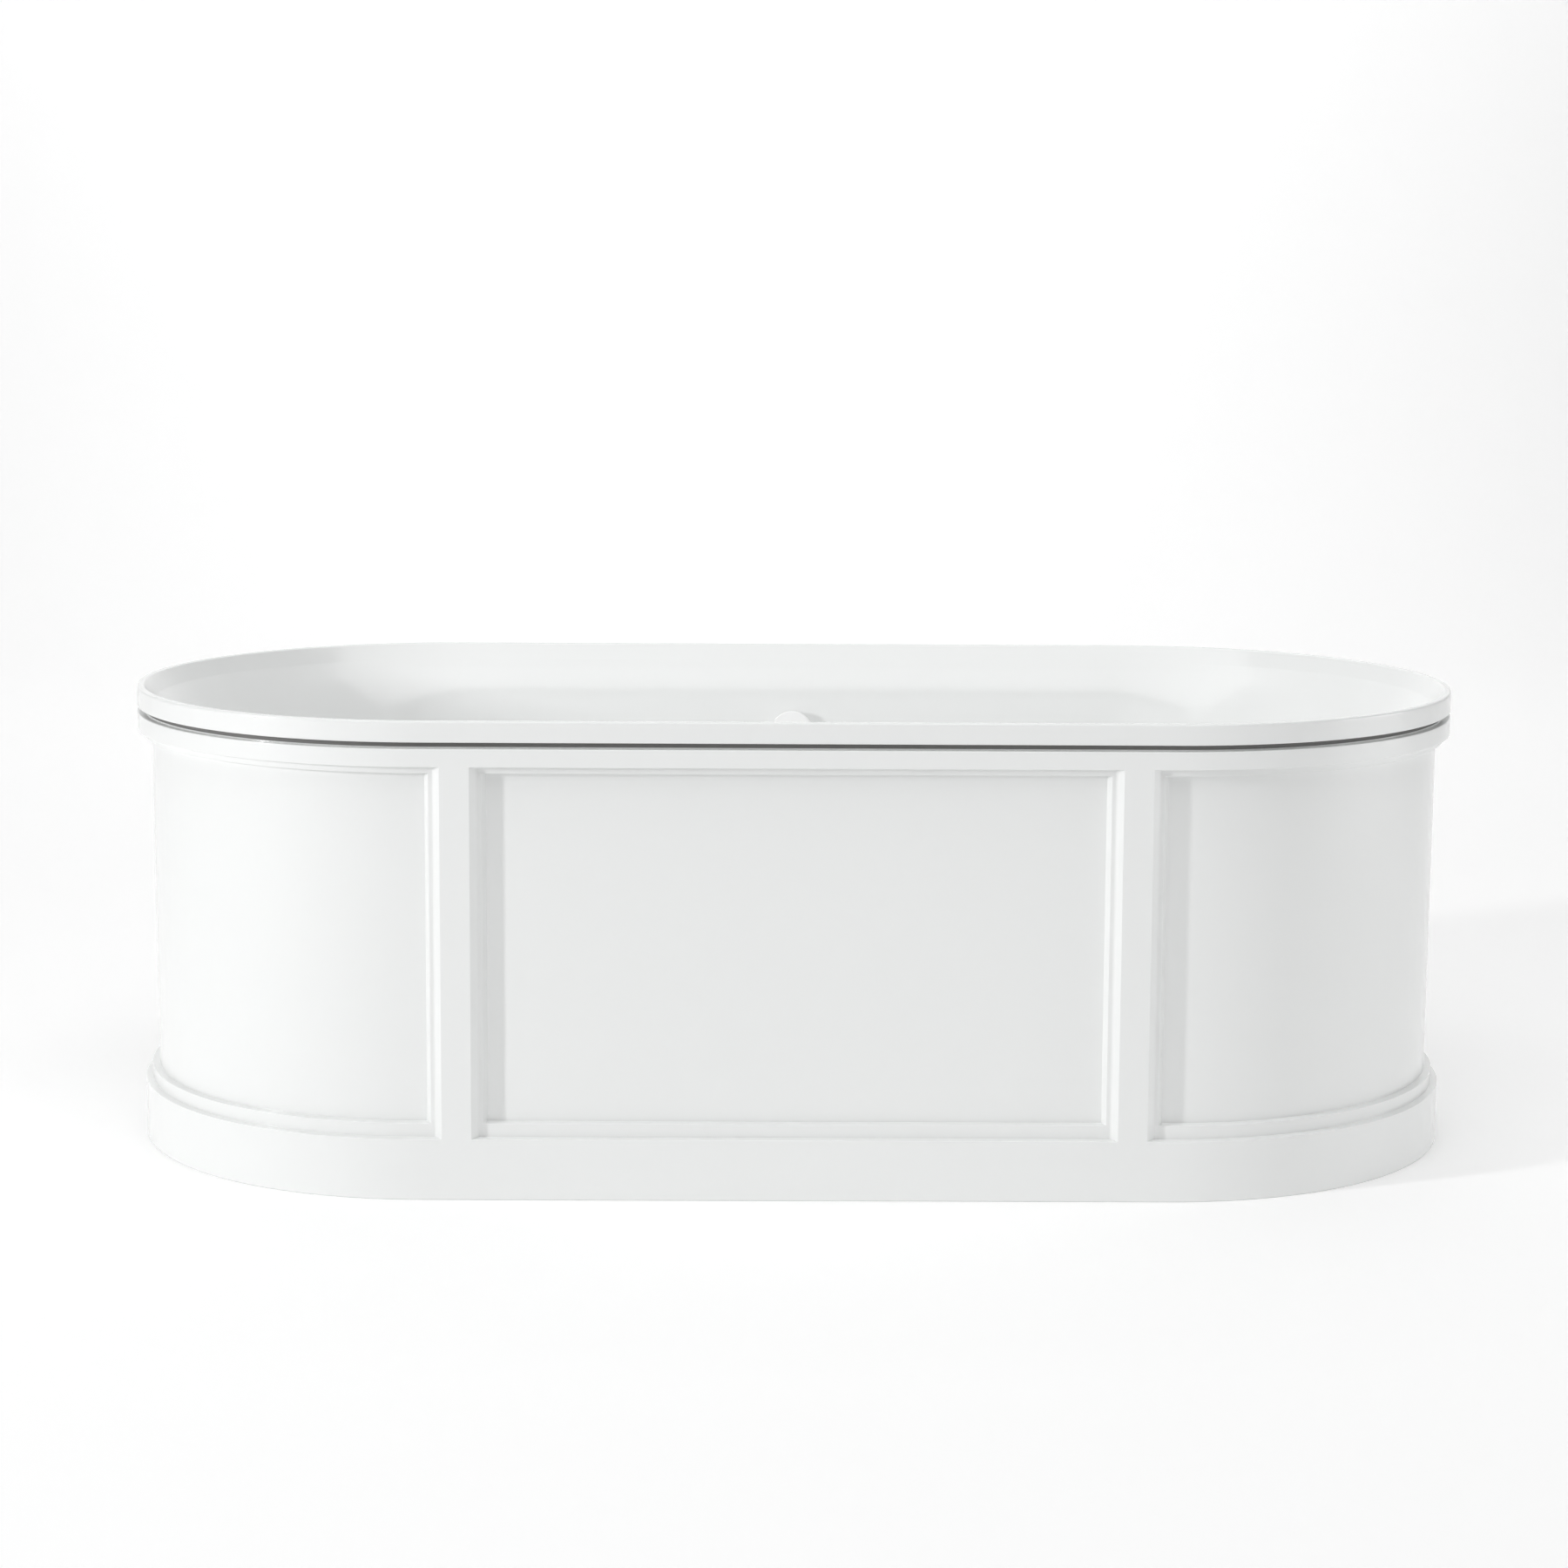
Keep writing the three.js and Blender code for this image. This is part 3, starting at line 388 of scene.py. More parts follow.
def ring_mesh(name, rings, finish, hollow=False):
    """A piece through rings of points: with flat ends, or hollow, where the last ring joins the first."""
    sides = len(rings[0])
    points = [point for ring in rings for point in ring]
    faces = []
    for r in range(len(rings) if hollow else len(rings) - 1):
        low, high = r * sides, (r + 1) % len(rings) * sides
        for i in range(sides):
            n = (i + 1) % sides
            faces.append((low + i, low + n, high + n, high + i))
    if not hollow:
        faces.append(tuple(range(sides - 1, -1, -1)))
        faces.append(tuple(range(len(points) - sides, len(points))))
    obj = make_mesh(name, points, faces, finish)
    face_outwards(obj)
    return obj


# ---- finishes ---------------------------------------------------------------------------------
def new_finish(name, roughness=0.4, metallic=0.0):
    """An empty finish: returns the material, its nodes, links and principled shader."""
    finish = bpy.data.materials.new(name)
    finish.use_nodes = True
    nodes, links = finish.node_tree.nodes, finish.node_tree.links
    shader = nodes["Principled BSDF"]
    shader.inputs["Roughness"].default_value = roughness
    shader.inputs["Metallic"].default_value = metallic
    return finish, nodes, links, shader


def noise(nodes, links, scale, detail=3.0, stretch=(1, 1, 1)):
    """A noise texture over the piece's own coordinates, in metres."""
    coordinates = nodes.new("ShaderNodeTexCoord")
    mapping = nodes.new("ShaderNodeMapping")
    mapping.inputs["Scale"].default_value = stretch
    texture = nodes.new("ShaderNodeTexNoise")
    texture.inputs["Scale"].default_value = scale
    texture.inputs["Detail"].default_value = detail
    links.new(coordinates.outputs["Object"], mapping.inputs["Vector"])
    links.new(mapping.outputs["Vector"], texture.inputs["Vector"])
    return texture.outputs["Fac"]


def vary_colour(nodes, links, shader, factor, low, high):
    """Lets the colour run from low to high. Sockets 6 and 7 are the mix's two colours."""
    mix = nodes.new("ShaderNodeMix")
    mix.data_type = "RGBA"
    mix.inputs[6].default_value = (*low, 1)
    mix.inputs[7].default_value = (*high, 1)
    links.new(factor, mix.inputs[0])
    links.new(mix.outputs[2], shader.inputs["Base Color"])


def vary_roughness(nodes, links, shader, factor, low, high):
    """Lets the roughness run from low to high."""
    spread = nodes.new("ShaderNodeMapRange")
    spread.inputs["To Min"].default_value = low
    spread.inputs["To Max"].default_value = high
    links.new(factor, spread.inputs["Value"])
    links.new(spread.outputs["Result"], shader.inputs["Roughness"])


def add_bump(nodes, links, shader, height, strength, distance):
    """Gives the surface a fine relief; distance is in metres."""
    bump = nodes.new("ShaderNodeBump")
    bump.inputs["Strength"].default_value = strength
    bump.inputs["Distance"].default_value = distance
    links.new(height, bump.inputs["Height"])
    links.new(bump.outputs["Normal"], shader.inputs["Normal"])


def plain_finish(name, low, high, roughness, bump, metallic=0.0, scale=40.0, stretch=(1, 1, 1)):
    """A finish whose colour, roughness and surface vary a little."""
    finish, nodes, links, shader = new_finish(name, metallic=metallic)
    broad = noise(nodes, links, scale * 0.2, 2.0, stretch)
    fine = noise(nodes, links, scale * 8, 4.0, stretch)
    vary_colour(nodes, links, shader, broad, low, high)
    vary_roughness(nodes, links, shader, fine, *roughness)
    add_bump(nodes, links, shader, fine, *bump)
    return finish


def acrylic(name, low, high):
    """White sanitary acrylic: high gloss, with the faint waviness of formed sheet."""
    finish, nodes, links, shader = new_finish(name)
    broad = noise(nodes, links, 2.2, 2.0)
    fine = noise(nodes, links, 260.0, 2.0)
    vary_colour(nodes, links, shader, broad, low, high)
    vary_roughness(nodes, links, shader, fine, 0.16, 0.24)
    add_bump(nodes, links, shader, broad, 0.03, 0.002)
    shader.inputs["IOR"].default_value = 1.49
    shader.inputs["Coat Weight"].default_value = 0.25
    shader.inputs["Coat Roughness"].default_value = 0.06
    return finish


# Colour from and to, roughness range, relief strength and distance, metallic, scale, stretch.
PLAIN_LOOKS = {
    "white_plastic": ((0.78, 0.79, 0.78), (0.83, 0.83, 0.82), (0.35, 0.5), (0.15, 0.0004)),
    "grey_plastic": ((0.25, 0.27, 0.28), (0.31, 0.32, 0.33), (0.4, 0.6), (0.2, 0.0004)),
    "black_plastic": ((0.02, 0.02, 0.021), (0.035, 0.035, 0.036), (0.4, 0.6), (0.3, 0.0005)),
    # This rubber's dark grey also serves as painted shade on the strip in the gap under the rim.
    "seal_rubber": ((0.19, 0.188, 0.184), (0.22, 0.217, 0.212), (0.7, 0.9), (0.2, 0.0005)),
    "chrome": ((0.78, 0.79, 0.8), (0.84, 0.85, 0.86), (0.04, 0.1), (0.03, 0.0002), 1.0),
    "zinc_steel": ((0.42, 0.43, 0.44), (0.58, 0.59, 0.58), (0.3, 0.5), (0.2, 0.0003), 1.0),
    "board_wood": ((0.36, 0.24, 0.12), (0.56, 0.4, 0.22), (0.6, 0.8), (0.5, 0.001), 0, 60.0),
    "batten_wood": ((0.5, 0.34, 0.18), (0.66, 0.48, 0.27), (0.6, 0.8), (0.5, 0.001), 0, 50.0, (1, 8, 8)),
}

FINISHES = {
    "white_acrylic": acrylic("white_acrylic", (0.868, 0.879, 0.874), (0.885, 0.895, 0.889)),
    # The knob's white is brighter than the tub's: partly its own white, partly a painted highlight that
    # makes the cover show as a bright disc.
    "white_knob": acrylic("white_knob", (0.96, 0.965, 0.96), (0.98, 0.98, 0.98)),
}
for finish_name, look in PLAIN_LOOKS.items():
    FINISHES[finish_name] = plain_finish(finish_name, *look)


# ---- basin ------------------------------------------------------------------------------------
def rim_rows():
    """The rim's section from under its outer edge, over the top, to the foot of the inner lip."""
    under_edge, outer_bottom, outer_top = (RIM_UNDERSIDE, RIM_BOTTOM), (0, RIM_BOTTOM), (0, RIM_TOP)
    crest, lip_foot = (RIM_CREST, RIM_TOP), (LIP_INSET, LIP_BOTTOM)
    under = fillet([under_edge, outer_bottom, outer_top], 1.2, 4)[:-1]
    top = fillet([outer_bottom, outer_top, crest, lip_foot], RIM_ROUND, 8)[1:-1]
    return [(z, inset, inset) for inset, z in under + top]


def make_basin():
    """The basin as one shell, closed at the middle of its floor, then cut for waste and overflow."""
    white = FINISHES["white_acrylic"]
    inside = smooth_rows(INSIDE, 5)
    outside = smooth_rows([outside_of(i) for i in range(1, len(INSIDE))][::-1], 4)
    levels = outside + rim_rows() + inside
    points, faces = skin(oval_band(levels), wrap_stations=True)
    rows = len(levels)
    stations = len(points) // rows
    under, floor = len(points), len(points) + 1
    points += [(0, 0, outside[0][0]), (0, 0, FLOOR_TOP)]
    for i in range(stations):
        here, after = i * rows, (i + 1) % stations * rows
        faces.append((here, under, after))
        faces.append((here + rows - 1, after + rows - 1, floor))
    basin = make_mesh("basin_shell", points, faces, white)
    face_outwards(basin)
    waste = bar("waste_cutter", WASTE_HOLE, 100, 200, white, 96)
    overflow = bar("overflow_cutter", OVERFLOW_HOLE, -30, 30, white, 96)
    overflow.matrix_world = OVERFLOW
    combine(basin, [waste, overflow], "DIFFERENCE")
    basin.data.set_sharp_from_angle(angle=math.radians(25))
    weigh_normals(basin)
    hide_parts("basin")
    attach(basin, "tub")


# ---- skirt ------------------------------------------------------------------------------------
def recess_nodes():
    """The nodes of a recess from its outer edge in: depth, and distance in at each kind of side."""
    lines = [fillet(profile, 0.6, 6) for profile in (SIDE_PROFILE, TOP_PROFILE, BOTTOM_PROFILE)]
    nodes = []
    for low, high in ((0.0, LEDGE_DEPTH), (LEDGE_DEPTH, PANEL_DEPTH)):
        for share in DROP_SHARES:
            depth = low + (high - low) * share
            nodes.append((depth, *[drop_offset(line, depth, low) for line in lines]))
    return nodes


def drop_offset(line, depth, low):
    """Where a drop that starts at depth low reaches a depth; its two ends are at its flats."""
    start = max(i for i, (_, d) in enumerate(line) if d <= low + 1e-6)
    for (x0, d0), (x1, d1) in zip(line[start:], line[start + 1:]):
        if d0 - 1e-6 <= depth <= d1 + 1e-6 and d1 > d0:
            return x0 + (x1 - x0) * min(1, max(0, (depth - d0) / (d1 - d0)))
    raise ValueError(depth)


def batter(z):
    """How far the skirt leans in at a height: it narrows a little towards its foot."""
    return SKIRT_BATTER * max(0.0, 1 - z / PANEL_TOP)


def skirt_stations(nodes):
    """Places along the front, from the -X tip to +X: (arc angle or None, x, recess node)."""
    last = len(nodes) - 1
    outer_edge = CENTRE_PANEL_HALF + STILE_WIDTH
    left = [(i / ARC_STATIONS * math.pi / 2, 0, last) for i in range(ARC_STATIONS + 1)]
    left += [(None, -(outer_edge + nodes[k][1]), k) for k in range(last, -1, -1)]
    left += [(None, -(CENTRE_PANEL_HALF - nodes[k][1]), k) for k in range(last + 1)]
    right = [(angle, -x if angle is None else "right", k) for angle, x, k in reversed(left)]
    return left + right


def skirt_point(station, inset, z):
    """Where a station's section reaches at an inset and a height. The tips keep half a gap."""
    angle, x, _ = station
    if angle is None:
        return (x, -(HALF_WIDTH - inset), z)
    side = 1 if x == "right" else -1
    reach = HALF_STRAIGHT + (HALF_LENGTH - inset - HALF_STRAIGHT) * math.cos(angle)
    across = (HALF_WIDTH - inset) * math.sin(angle)
    return (side * reach, -max(across, GAP / 2), z)


def skirt_rows(nodes):
    """The skirt's section as (kind, z, node or inset). Outer rows follow the recess."""
    last = len(nodes) - 1
    rows = [("fixed", 0, SKIRT_BATTER + 1.5), ("fixed", 0.7, SKIRT_BATTER + 0.5)]
    rows += [("outer", z, 0) for z in PLINTH_ROWS]
    rows += [("outer", PLINTH_TOP + nodes[k][3], k) for k in range(last + 1)]
    rows += [("outer", z, last) for z in PANEL_ROWS]
    rows += [("outer", PANEL_TOP - nodes[k][2], k) for k in range(last, -1, -1)]
    corners = [(0, PANEL_TOP + 4), (0, SKIRT_TOP), (NECK_INSET, SKIRT_TOP), (NECK_INSET, NECK_TOP)]
    rows += [("fixed", z, inset) for inset, z in fillet(corners, 1.5, 5)]
    rows += [("fixed", z, NECK_INSET + NECK_WALL) for z in (NECK_TOP, SKIRT_TOP - SKIRT_WALL)]
    rows += [("inner", PANEL_TOP + SKIRT_WALL, 0), ("inner", PANEL_TOP - TOP_REACH + SKIRT_WALL, last)]
    rows += [("inner", PLINTH_TOP + BOTTOM_REACH - SKIRT_WALL, last), ("inner", PLINTH_TOP - SKIRT_WALL, 0)]
    rows += [("inner", 0, 0)]
    return rows


def skirt_section(station, rows, nodes):
    """One section as (inset, z, depth of the recess there)."""
    section = []
    for kind, z, value in rows:
        if kind == "fixed":
            section.append((value, z, 0.0))
            continue
        depth = nodes[min(value, station[2])][0]
        wall = SKIRT_WALL if kind == "inner" else 0.0
        section.append((depth + wall + batter(z), z, depth))
    return section


def make_skirt(name, node, turn):
    """Half the skirt, from tip to tip. The rear half is the front one turned about."""
    nodes = recess_nodes()
    rows = skirt_rows(nodes)
    stations = skirt_stations(nodes)
    sections = [skirt_section(s, rows, nodes) for s in stations]
    grid = []
    for station, section in zip(stations, sections):
        grid.append([skirt_point(station, inset, z) for inset, z, _ in section])
    depths = [[depth for _, _, depth in section] for section in sections]
    points, faces = skin(grid, wrap_rows=True, depths=depths)
    count = len(rows)
    first = (len(stations) - 1) * count
    faces.append(tuple(range(count)))
    faces.append(tuple(range(first + count - 1, first - 1, -1)))
    skirt = make_mesh(name, points, faces, FINISHES["white_acrylic"])
    face_outwards(skirt)
    skirt.data.transform(Matrix.Rotation(turn, 4, "Z"))
    skirt.data.set_sharp_from_angle(angle=math.radians(40))
    weigh_normals(skirt)
    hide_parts(node)
    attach(skirt, "tub")


def make_rim_seal():
    """A soft strip all the way round, between the neck and the rim. Its dark grey is painted shade, standing
    in for the shadow in the gap under the rim.
    """
    inner, outer = NECK_INSET + GAP, NECK_INSET + NECK_WALL - GAP
    bottom, top = NECK_TOP + GAP, RIM_BOTTOM - GAP
    section = [(bottom, inner), (bottom, outer), (top, outer), (top, inner)]
    grid = oval_band([(z, inset, inset) for z, inset in section])
    points, faces = skin(grid, wrap_stations=True, wrap_rows=True)
    seal = make_mesh("rim_seal_shade_strip", points, faces, FINISHES["seal_rubber"], smooth=False)
    face_outwards(seal)
    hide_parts("rim_seal")
    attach(seal, "tub")


# ---- placing pieces ---------------------------------------------------------------------------
def place(obj, node, body, matrix=None):
    """Puts a piece where its CAD node is, shows it in the node's stead and lets it move with its body."""
    if matrix is not None:
        obj.matrix_world = matrix
    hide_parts(node)
    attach(obj, body)


def ring_profile(inner, outer, bottom, top, ease=0.5):
    """The section of a ring whose four edges are eased."""
    corners = [(inner, bottom), (outer, bottom), (outer, top), (inner, top)]
    middle = ((inner + outer) / 2, bottom)
    return fillet([middle, corners[1], corners[2], corners[3], corners[0], middle], ease, 3)[:-1]


def shifted(x=0.0, y=0.0, z=0.0):
    """A move in millimetres."""
    return Matrix.Translation(Vector((x, y, z)) * MM)


# ---- overflow ---------------------------------------------------------------------------------
def make_knob():
    """The overflow cover, with the shaft that it turns on. Its near-pure white is partly its own white and
    partly a painted highlight.
    """
    corners = [(KNOB_SHAFT, KNOB_LIFT), (KNOB_RADIUS, KNOB_LIFT), (KNOB_RADIUS, KNOB_CROWN), (0, KNOB_CROWN)]
    profile = [(0, KNOB_BACK), (KNOB_SHAFT, KNOB_BACK), *fillet(corners, 2.4, 8)]
    knob = turned("knob", profile, FINISHES["white_knob"])
    place(knob, "overflow_knob", "overflow_handle", OVERFLOW)


def make_strainer():
    """A slotted plate behind the knob, round its shaft."""
    bore = KNOB_SHAFT + GAP
    corners = [(15, GAP), (27, GAP), (27, 1), (25, 1.9), (9, 2.3), (bore, 2.3), (bore, GAP), (15, GAP)]
    plate = turned("strainer", fillet(corners, 0.4, 3)[:-1], FINISHES["chrome"], closed=True)
    slots = []
    for i in range(STRAINER_SLOTS):
        slot_shape = block("slot", (7, 5, 12), FINISHES["chrome"])
        slot_shape.matrix_world = Matrix.Rotation(i * 2 * math.pi / STRAINER_SLOTS, 4, "Z") @ shifted(15.5)
        slots.append(slot_shape)
    combine(plate, slots, "DIFFERENCE")
    place(plate, "overflow_strainer", "tub", OVERFLOW)


def make_overflow_body():
    """The cup behind the wall, with a stub for the pipe and one for the cable."""
    finish = FINISHES["white_plastic"]
    inner_back = BODY_BACK + 2.5
    corners = [(0, BODY_BACK), (BODY_RADIUS, BODY_BACK), (BODY_RADIUS, BODY_FRONT)]
    corners += [(BODY_BORE, BODY_FRONT), (BODY_BORE, inner_back), (0, inner_back)]
    shell = turned("overflow_housing", fillet(corners, 1.5, 4), finish)
    down = Matrix.Rotation(math.pi / 2, 4, "X")
    add_spigot(shell, down, (0, BODY_DEPTH), (7, 25, 46), (5, 15, 50))
    add_spigot(shell, down, (CABLE_X, BODY_DEPTH), (CABLE_RADIUS + 3, 10, 36), (CABLE_RADIUS + GAP, 24, 40))
    finish_hard_edges(shell)
    place(shell, "overflow_body", "tub", OVERFLOW)


def add_spigot(shell, turn, at, outer, bore):
    """Joins a stub to a shell and bores it. outer and bore are (radius, start, end) along the stub."""
    x, z = at
    finish = shell.data.materials[0]
    lug = bar("lug", *outer, finish)
    drill = bar("drill", *bore, finish)
    for tool in (lug, drill):
        tool.matrix_world = shifted(x, 0, z) @ turn
    shell.modifiers.clear()
    combine(shell, [lug], "UNION")
    combine(shell, [drill], "DIFFERENCE")


def make_overflow_gasket():
    """The washer between the wall and the cup."""
    profile = ring_profile(OVERFLOW_HOLE + 1, 31, BODY_FRONT + GAP, -(WALL + GAP))
    gasket = turned("overflow_washer", profile, FINISHES["seal_rubber"], closed=True)
    place(gasket, "overflow_gasket", "tub", OVERFLOW)


# ---- hoses ------------------------------------------------------------------------------------
def curve_points(route, steps):
    """Evenly placed points along a centripetal curve through a route."""
    fine = [Vector(p) for p in smooth_rows(route, 40)]
    lengths = [0.0]
    for a, b in zip(fine, fine[1:]):
        lengths.append(lengths[-1] + (b - a).length)
    points, index = [], 0
    for i in range(steps + 1):
        target = lengths[-1] * i / steps
        while index < len(fine) - 2 and lengths[index + 1] < target:
            index += 1
        span = lengths[index + 1] - lengths[index]
        points.append(fine[index].lerp(fine[index + 1], min(1, (target - lengths[index]) / span)))
    return points


def hose(name, route, finish, radii, sides=24):
    """A tube along a route that lies in a plane of constant X, with a radius for each step."""
    steps = len(radii) - 1
    points = curve_points(route, steps)
    across = Vector((1, 0, 0))
    rings = []
    for i, point in enumerate(points):
        before, after = points[max(i - 1, 0)], points[min(i + 1, steps)]
        along = (after - before).normalized()
        up = along.cross(across).normalized()
        ring = []
        for k in range(sides):
            angle = k / sides * 2 * math.pi
            ring.append(point + (across * math.cos(angle) + up * math.sin(angle)) * radii[i])
        rings.append(ring)
    return ring_mesh(name, rings, finish)


def overflow_local(x, y, z):
    """A point given along the overflow's own axes."""
    return tuple((OVERFLOW @ (Vector((x, y, z)) * MM)) / MM)


def pipe_radius(step):
    """The overflow pipe's radius along its length: ribbed, with a plain cuff at each end."""
    in_cuff = not PIPE_CUFF_STEPS < step < PIPE_STEPS - PIPE_CUFF_STEPS
    if in_cuff or step % 4 not in (1, 2):
        return PIPE_RADIUS
    return PIPE_RADIUS - PIPE_RIB_DEPTH


def make_hoses():
    """The overflow pipe and the cable, from the overflow down behind the wall to the waste."""
    ends = [(160, SPIGOT_Z), (100, SPIGOT_Z), (34.3, SPIGOT_Z)]
    bends = [(336, 415), (331, 380), (318, 300), (300, 235), (262, 170), (215, 130), *ends]
    route = [overflow_local(0, -48, BODY_DEPTH), *[(0, y, z) for y, z in bends]]
    radii = [pipe_radius(i) for i in range(PIPE_STEPS + 1)]
    pipe = hose("overflow_hose", route, FINISHES["grey_plastic"], radii)
    place(pipe, "overflow_pipe", "tub")
    bends = [(336, 425), (330, 380), (316, 300), (297, 235), (258, 170), (212, 131), *ends]
    route = [overflow_local(CABLE_X, -37, BODY_DEPTH), *[(CABLE_X, y, z) for y, z in bends]]
    radii = [CABLE_RADIUS] * (CABLE_STEPS + 1)
    cable = hose("drive_sheath", route, FINISHES["black_plastic"], radii, 16)
    place(cable, "drive_cable", "tub")


# ---- waste ------------------------------------------------------------------------------------
def make_flange():
    """The waste's flange in the floor, and the washers above and below the floor."""
    seat = FLANGE_SEAT + 1.6
    bore, sleeve, foot = FLANGE_BORE, FLANGE_BORE + 3.5, WASTE_BODY_TOP + 1
    corners = [(bore + 1.7, foot), (sleeve, foot), (sleeve, seat), (35, seat), (35, seat + 1)]
    corners += [(32, FLANGE_TOP - 0.4), (28, FLANGE_TOP), (bore + 3, FLANGE_TOP - 1)]
    corners += [(bore, FLANGE_TOP - 4), (bore, foot), (bore + 1.7, foot)]
    flange = turned("flange", fillet(corners, 0.6, 4)[:-1], FINISHES["chrome"], 128, closed=True)
    place(flange, "waste_flange", "tub")
    rubber = FINISHES["seal_rubber"]
    profile = ring_profile(bore + 4, 33, FLANGE_SEAT, seat - GAP, 0.3)
    upper = turned("flange_washer", profile, rubber, closed=True)
    place(upper, "waste_gasket_upper", "tub")
    profile = ring_profile(WASTE_HOLE + 1, 44, WASTE_BODY_TOP + GAP, BASIN_UNDER - GAP, 0.8)
    lower = turned("waste_washer", profile, rubber, closed=True)
    place(lower, "waste_gasket_lower", "tub")


def make_plug():
    """The pop-up plug: its cap, the seal round its core and the stem below."""
    under = FLANGE_TOP + GAP
    corners = [(0, PLUG_BOTTOM), (PLUG_CORE, PLUG_BOTTOM), (PLUG_CORE, under), (31, under)]
    corners += [(32, under + 1.2), (31, under + 2.6), (24, under + 4), (0, under + 5)]
    plug = turned("plug_cap", fillet(corners, 0.8, 4), FINISHES["chrome"], 128)
    place(plug, "waste_plug", "pop_up_plug")
    profile = ring_profile(PLUG_CORE + GAP, FLANGE_BORE - GAP, 162, 165.2, 1.2)
    seal = turned("plug_ring", profile, FINISHES["seal_rubber"], closed=True)
    place(seal, "plug_seal", "pop_up_plug")
    top = PLUG_BOTTOM - GAP
    profile = fillet([(0, STEM_BOTTOM), (STEM_RADIUS, STEM_BOTTOM), (STEM_RADIUS, top), (0, top)], 0.8, 3)
    stem = turned("plug_rod", profile, FINISHES["zinc_steel"], 32)
    place(stem, "plug_stem", "pop_up_plug")


def make_waste_body():
    """The cup under the floor, with stubs for the overflow pipe and the cable."""
    finish = FINISHES["white_plastic"]
    outside = [(17, WASTE_BODY_FOOT), (20, WASTE_BODY_FOOT), (20, 106), (36, 110), (36, 146), (44, 149)]
    outside += [(44, WASTE_BODY_TOP), (33, WASTE_BODY_TOP)]
    inside = [(33, 113), (17, 107), (17, WASTE_BODY_FOOT)]
    body = turned("waste_housing", fillet(outside + inside, 1.0, 3)[:-1], finish, closed=True)
    back = Matrix.Rotation(-math.pi / 2, 4, "X")
    add_spigot(body, back, (0, SPIGOT_Z), (PIPE_RADIUS + 3, 34.5, 62), (PIPE_RADIUS + GAP, 34, 70))
    add_spigot(body, back, (CABLE_X, SPIGOT_Z), (CABLE_RADIUS + 3, 26, 52), (CABLE_RADIUS + GAP, 34, 60))
    finish_hard_edges(body)
    place(body, "waste_body", "tub")


def make_trap():
    """The bottle trap, its two collar nuts and the pipe that leaves it."""
    finish = FINISHES["white_plastic"]
    neck = WASTE_BODY_FOOT - GAP
    outside = [(0, 16), (38, 16), (42, 20), (42, 74), (38, 80)]
    outside += [(TRAP_NECK, 82), (TRAP_NECK, neck), (22, neck)]
    inside = [(22, 78), (38, 72), (38, 24), (37, 20), (0, 20)]
    trap = turned("trap_cup", fillet(outside + inside, 1.6, 4), finish)
    side = Matrix.Rotation(math.pi / 2, 4, "Y")
    outlet = shifted(0, 0, TRAP_Z) @ side
    add_spigot(trap, side, (0, TRAP_Z), (TRAP_PIPE + 3, 39.5, 66), (TRAP_PIPE + GAP, 46, 70))
    drill = bar("drill", TRAP_PIPE - 3, 30, 60, finish)
    drill.matrix_world = outlet
    combine(trap, [drill], "DIFFERENCE")
    finish_hard_edges(trap)
    place(trap, "trap_body", "tub")
    collar = ribbed_collar("trap_collar", TRAP_NECK + GAP, 31, 86, 98, finish)
    place(collar, "trap_nut_inlet", "tub")
    collar = ribbed_collar("outlet_collar", TRAP_PIPE + 3 + GAP, 29, 48, 62, finish)
    place(collar, "trap_nut_outlet", "tub", outlet)
    profile = ring_profile(TRAP_PIPE - 2, TRAP_PIPE, 46 + GAP, TRAP_END, 0.5)
    pipe = turned("outlet_pipe", profile, finish, closed=True)
    place(pipe, "trap_outlet", "tub", outlet)


def ribbed_collar(name, bore, radius, bottom, top, finish, ribs=12, sides=240):
    """A collar nut with rounded grip ribs."""
    ease, rib = 1.2, 2.4
    rows = [(bore, 0, bottom), (radius - ease, rib, bottom), (radius, rib, bottom + ease)]
    rows += [(radius, rib, top - ease), (radius - ease, rib, top), (bore, 0, top)]
    rings = []
    for base, height, z in rows:
        ring = []
        for i in range(sides):
            angle = i / sides * 2 * math.pi
            reach = base + height * (0.5 - 0.5 * math.cos(ribs * angle))
            ring.append((reach * math.cos(angle), reach * math.sin(angle), z))
        rings.append(ring)
    collar = ring_mesh(name, rings, finish, hollow=True)
    collar.data.set_sharp_from_angle(angle=math.radians(35))
    return collar


# ---- support under the basin ------------------------------------------------------------------
def block(name, size, finish):
    """A plain box about the origin."""
    x, y, z = [s / 2 for s in size]
    points = [(a * x, b * y, c * z) for a in (-1, 1) for b in (-1, 1) for c in (-1, 1)]
    faces = [(0, 1, 3, 2), (4, 6, 7, 5), (0, 4, 5, 1), (2, 3, 7, 6), (0, 2, 6, 4), (1, 5, 7, 3)]
    return make_mesh(name, points, faces, finish, smooth=False)


def combine(obj, tools, operation):
    """Adds closed meshes to obj, or cuts them out of it, for good."""
    for tool in tools:
        modifier = obj.modifiers.new("combine", "BOOLEAN")
        modifier.operation = operation
        modifier.solver = "EXACT"
        modifier.object = tool
    bpy.context.view_layer.update()
    graph = bpy.context.evaluated_depsgraph_get()
    made = bpy.data.meshes.new_from_object(obj.evaluated_get(graph))
    obj.modifiers.clear()
    obj.data = made
    for tool in tools:
        bpy.data.objects.remove(tool)


def finish_hard_edges(obj):
    """Shading that is smooth on curves and flat on flats, with crisp edges between them."""
    obj.data.shade_smooth()
    obj.data.set_sharp_from_angle(angle=math.radians(32))
    weigh_normals(obj)


def hexagon_ring(flats, turning, z):
    """One level of a six-sided bar with its corners turned off to a radius; they lie on the X axis."""
    points = []
    for i in range(HEX_SIDES):
        angle = i / HEX_SIDES * 2 * math.pi
        off = (angle + math.pi / 6) % (math.pi / 3) - math.pi / 6
        reach = min(flats / math.cos(off), turning)
        points.append((reach * math.cos(angle + math.pi / 6), reach * math.sin(angle + math.pi / 6), z))
    return points


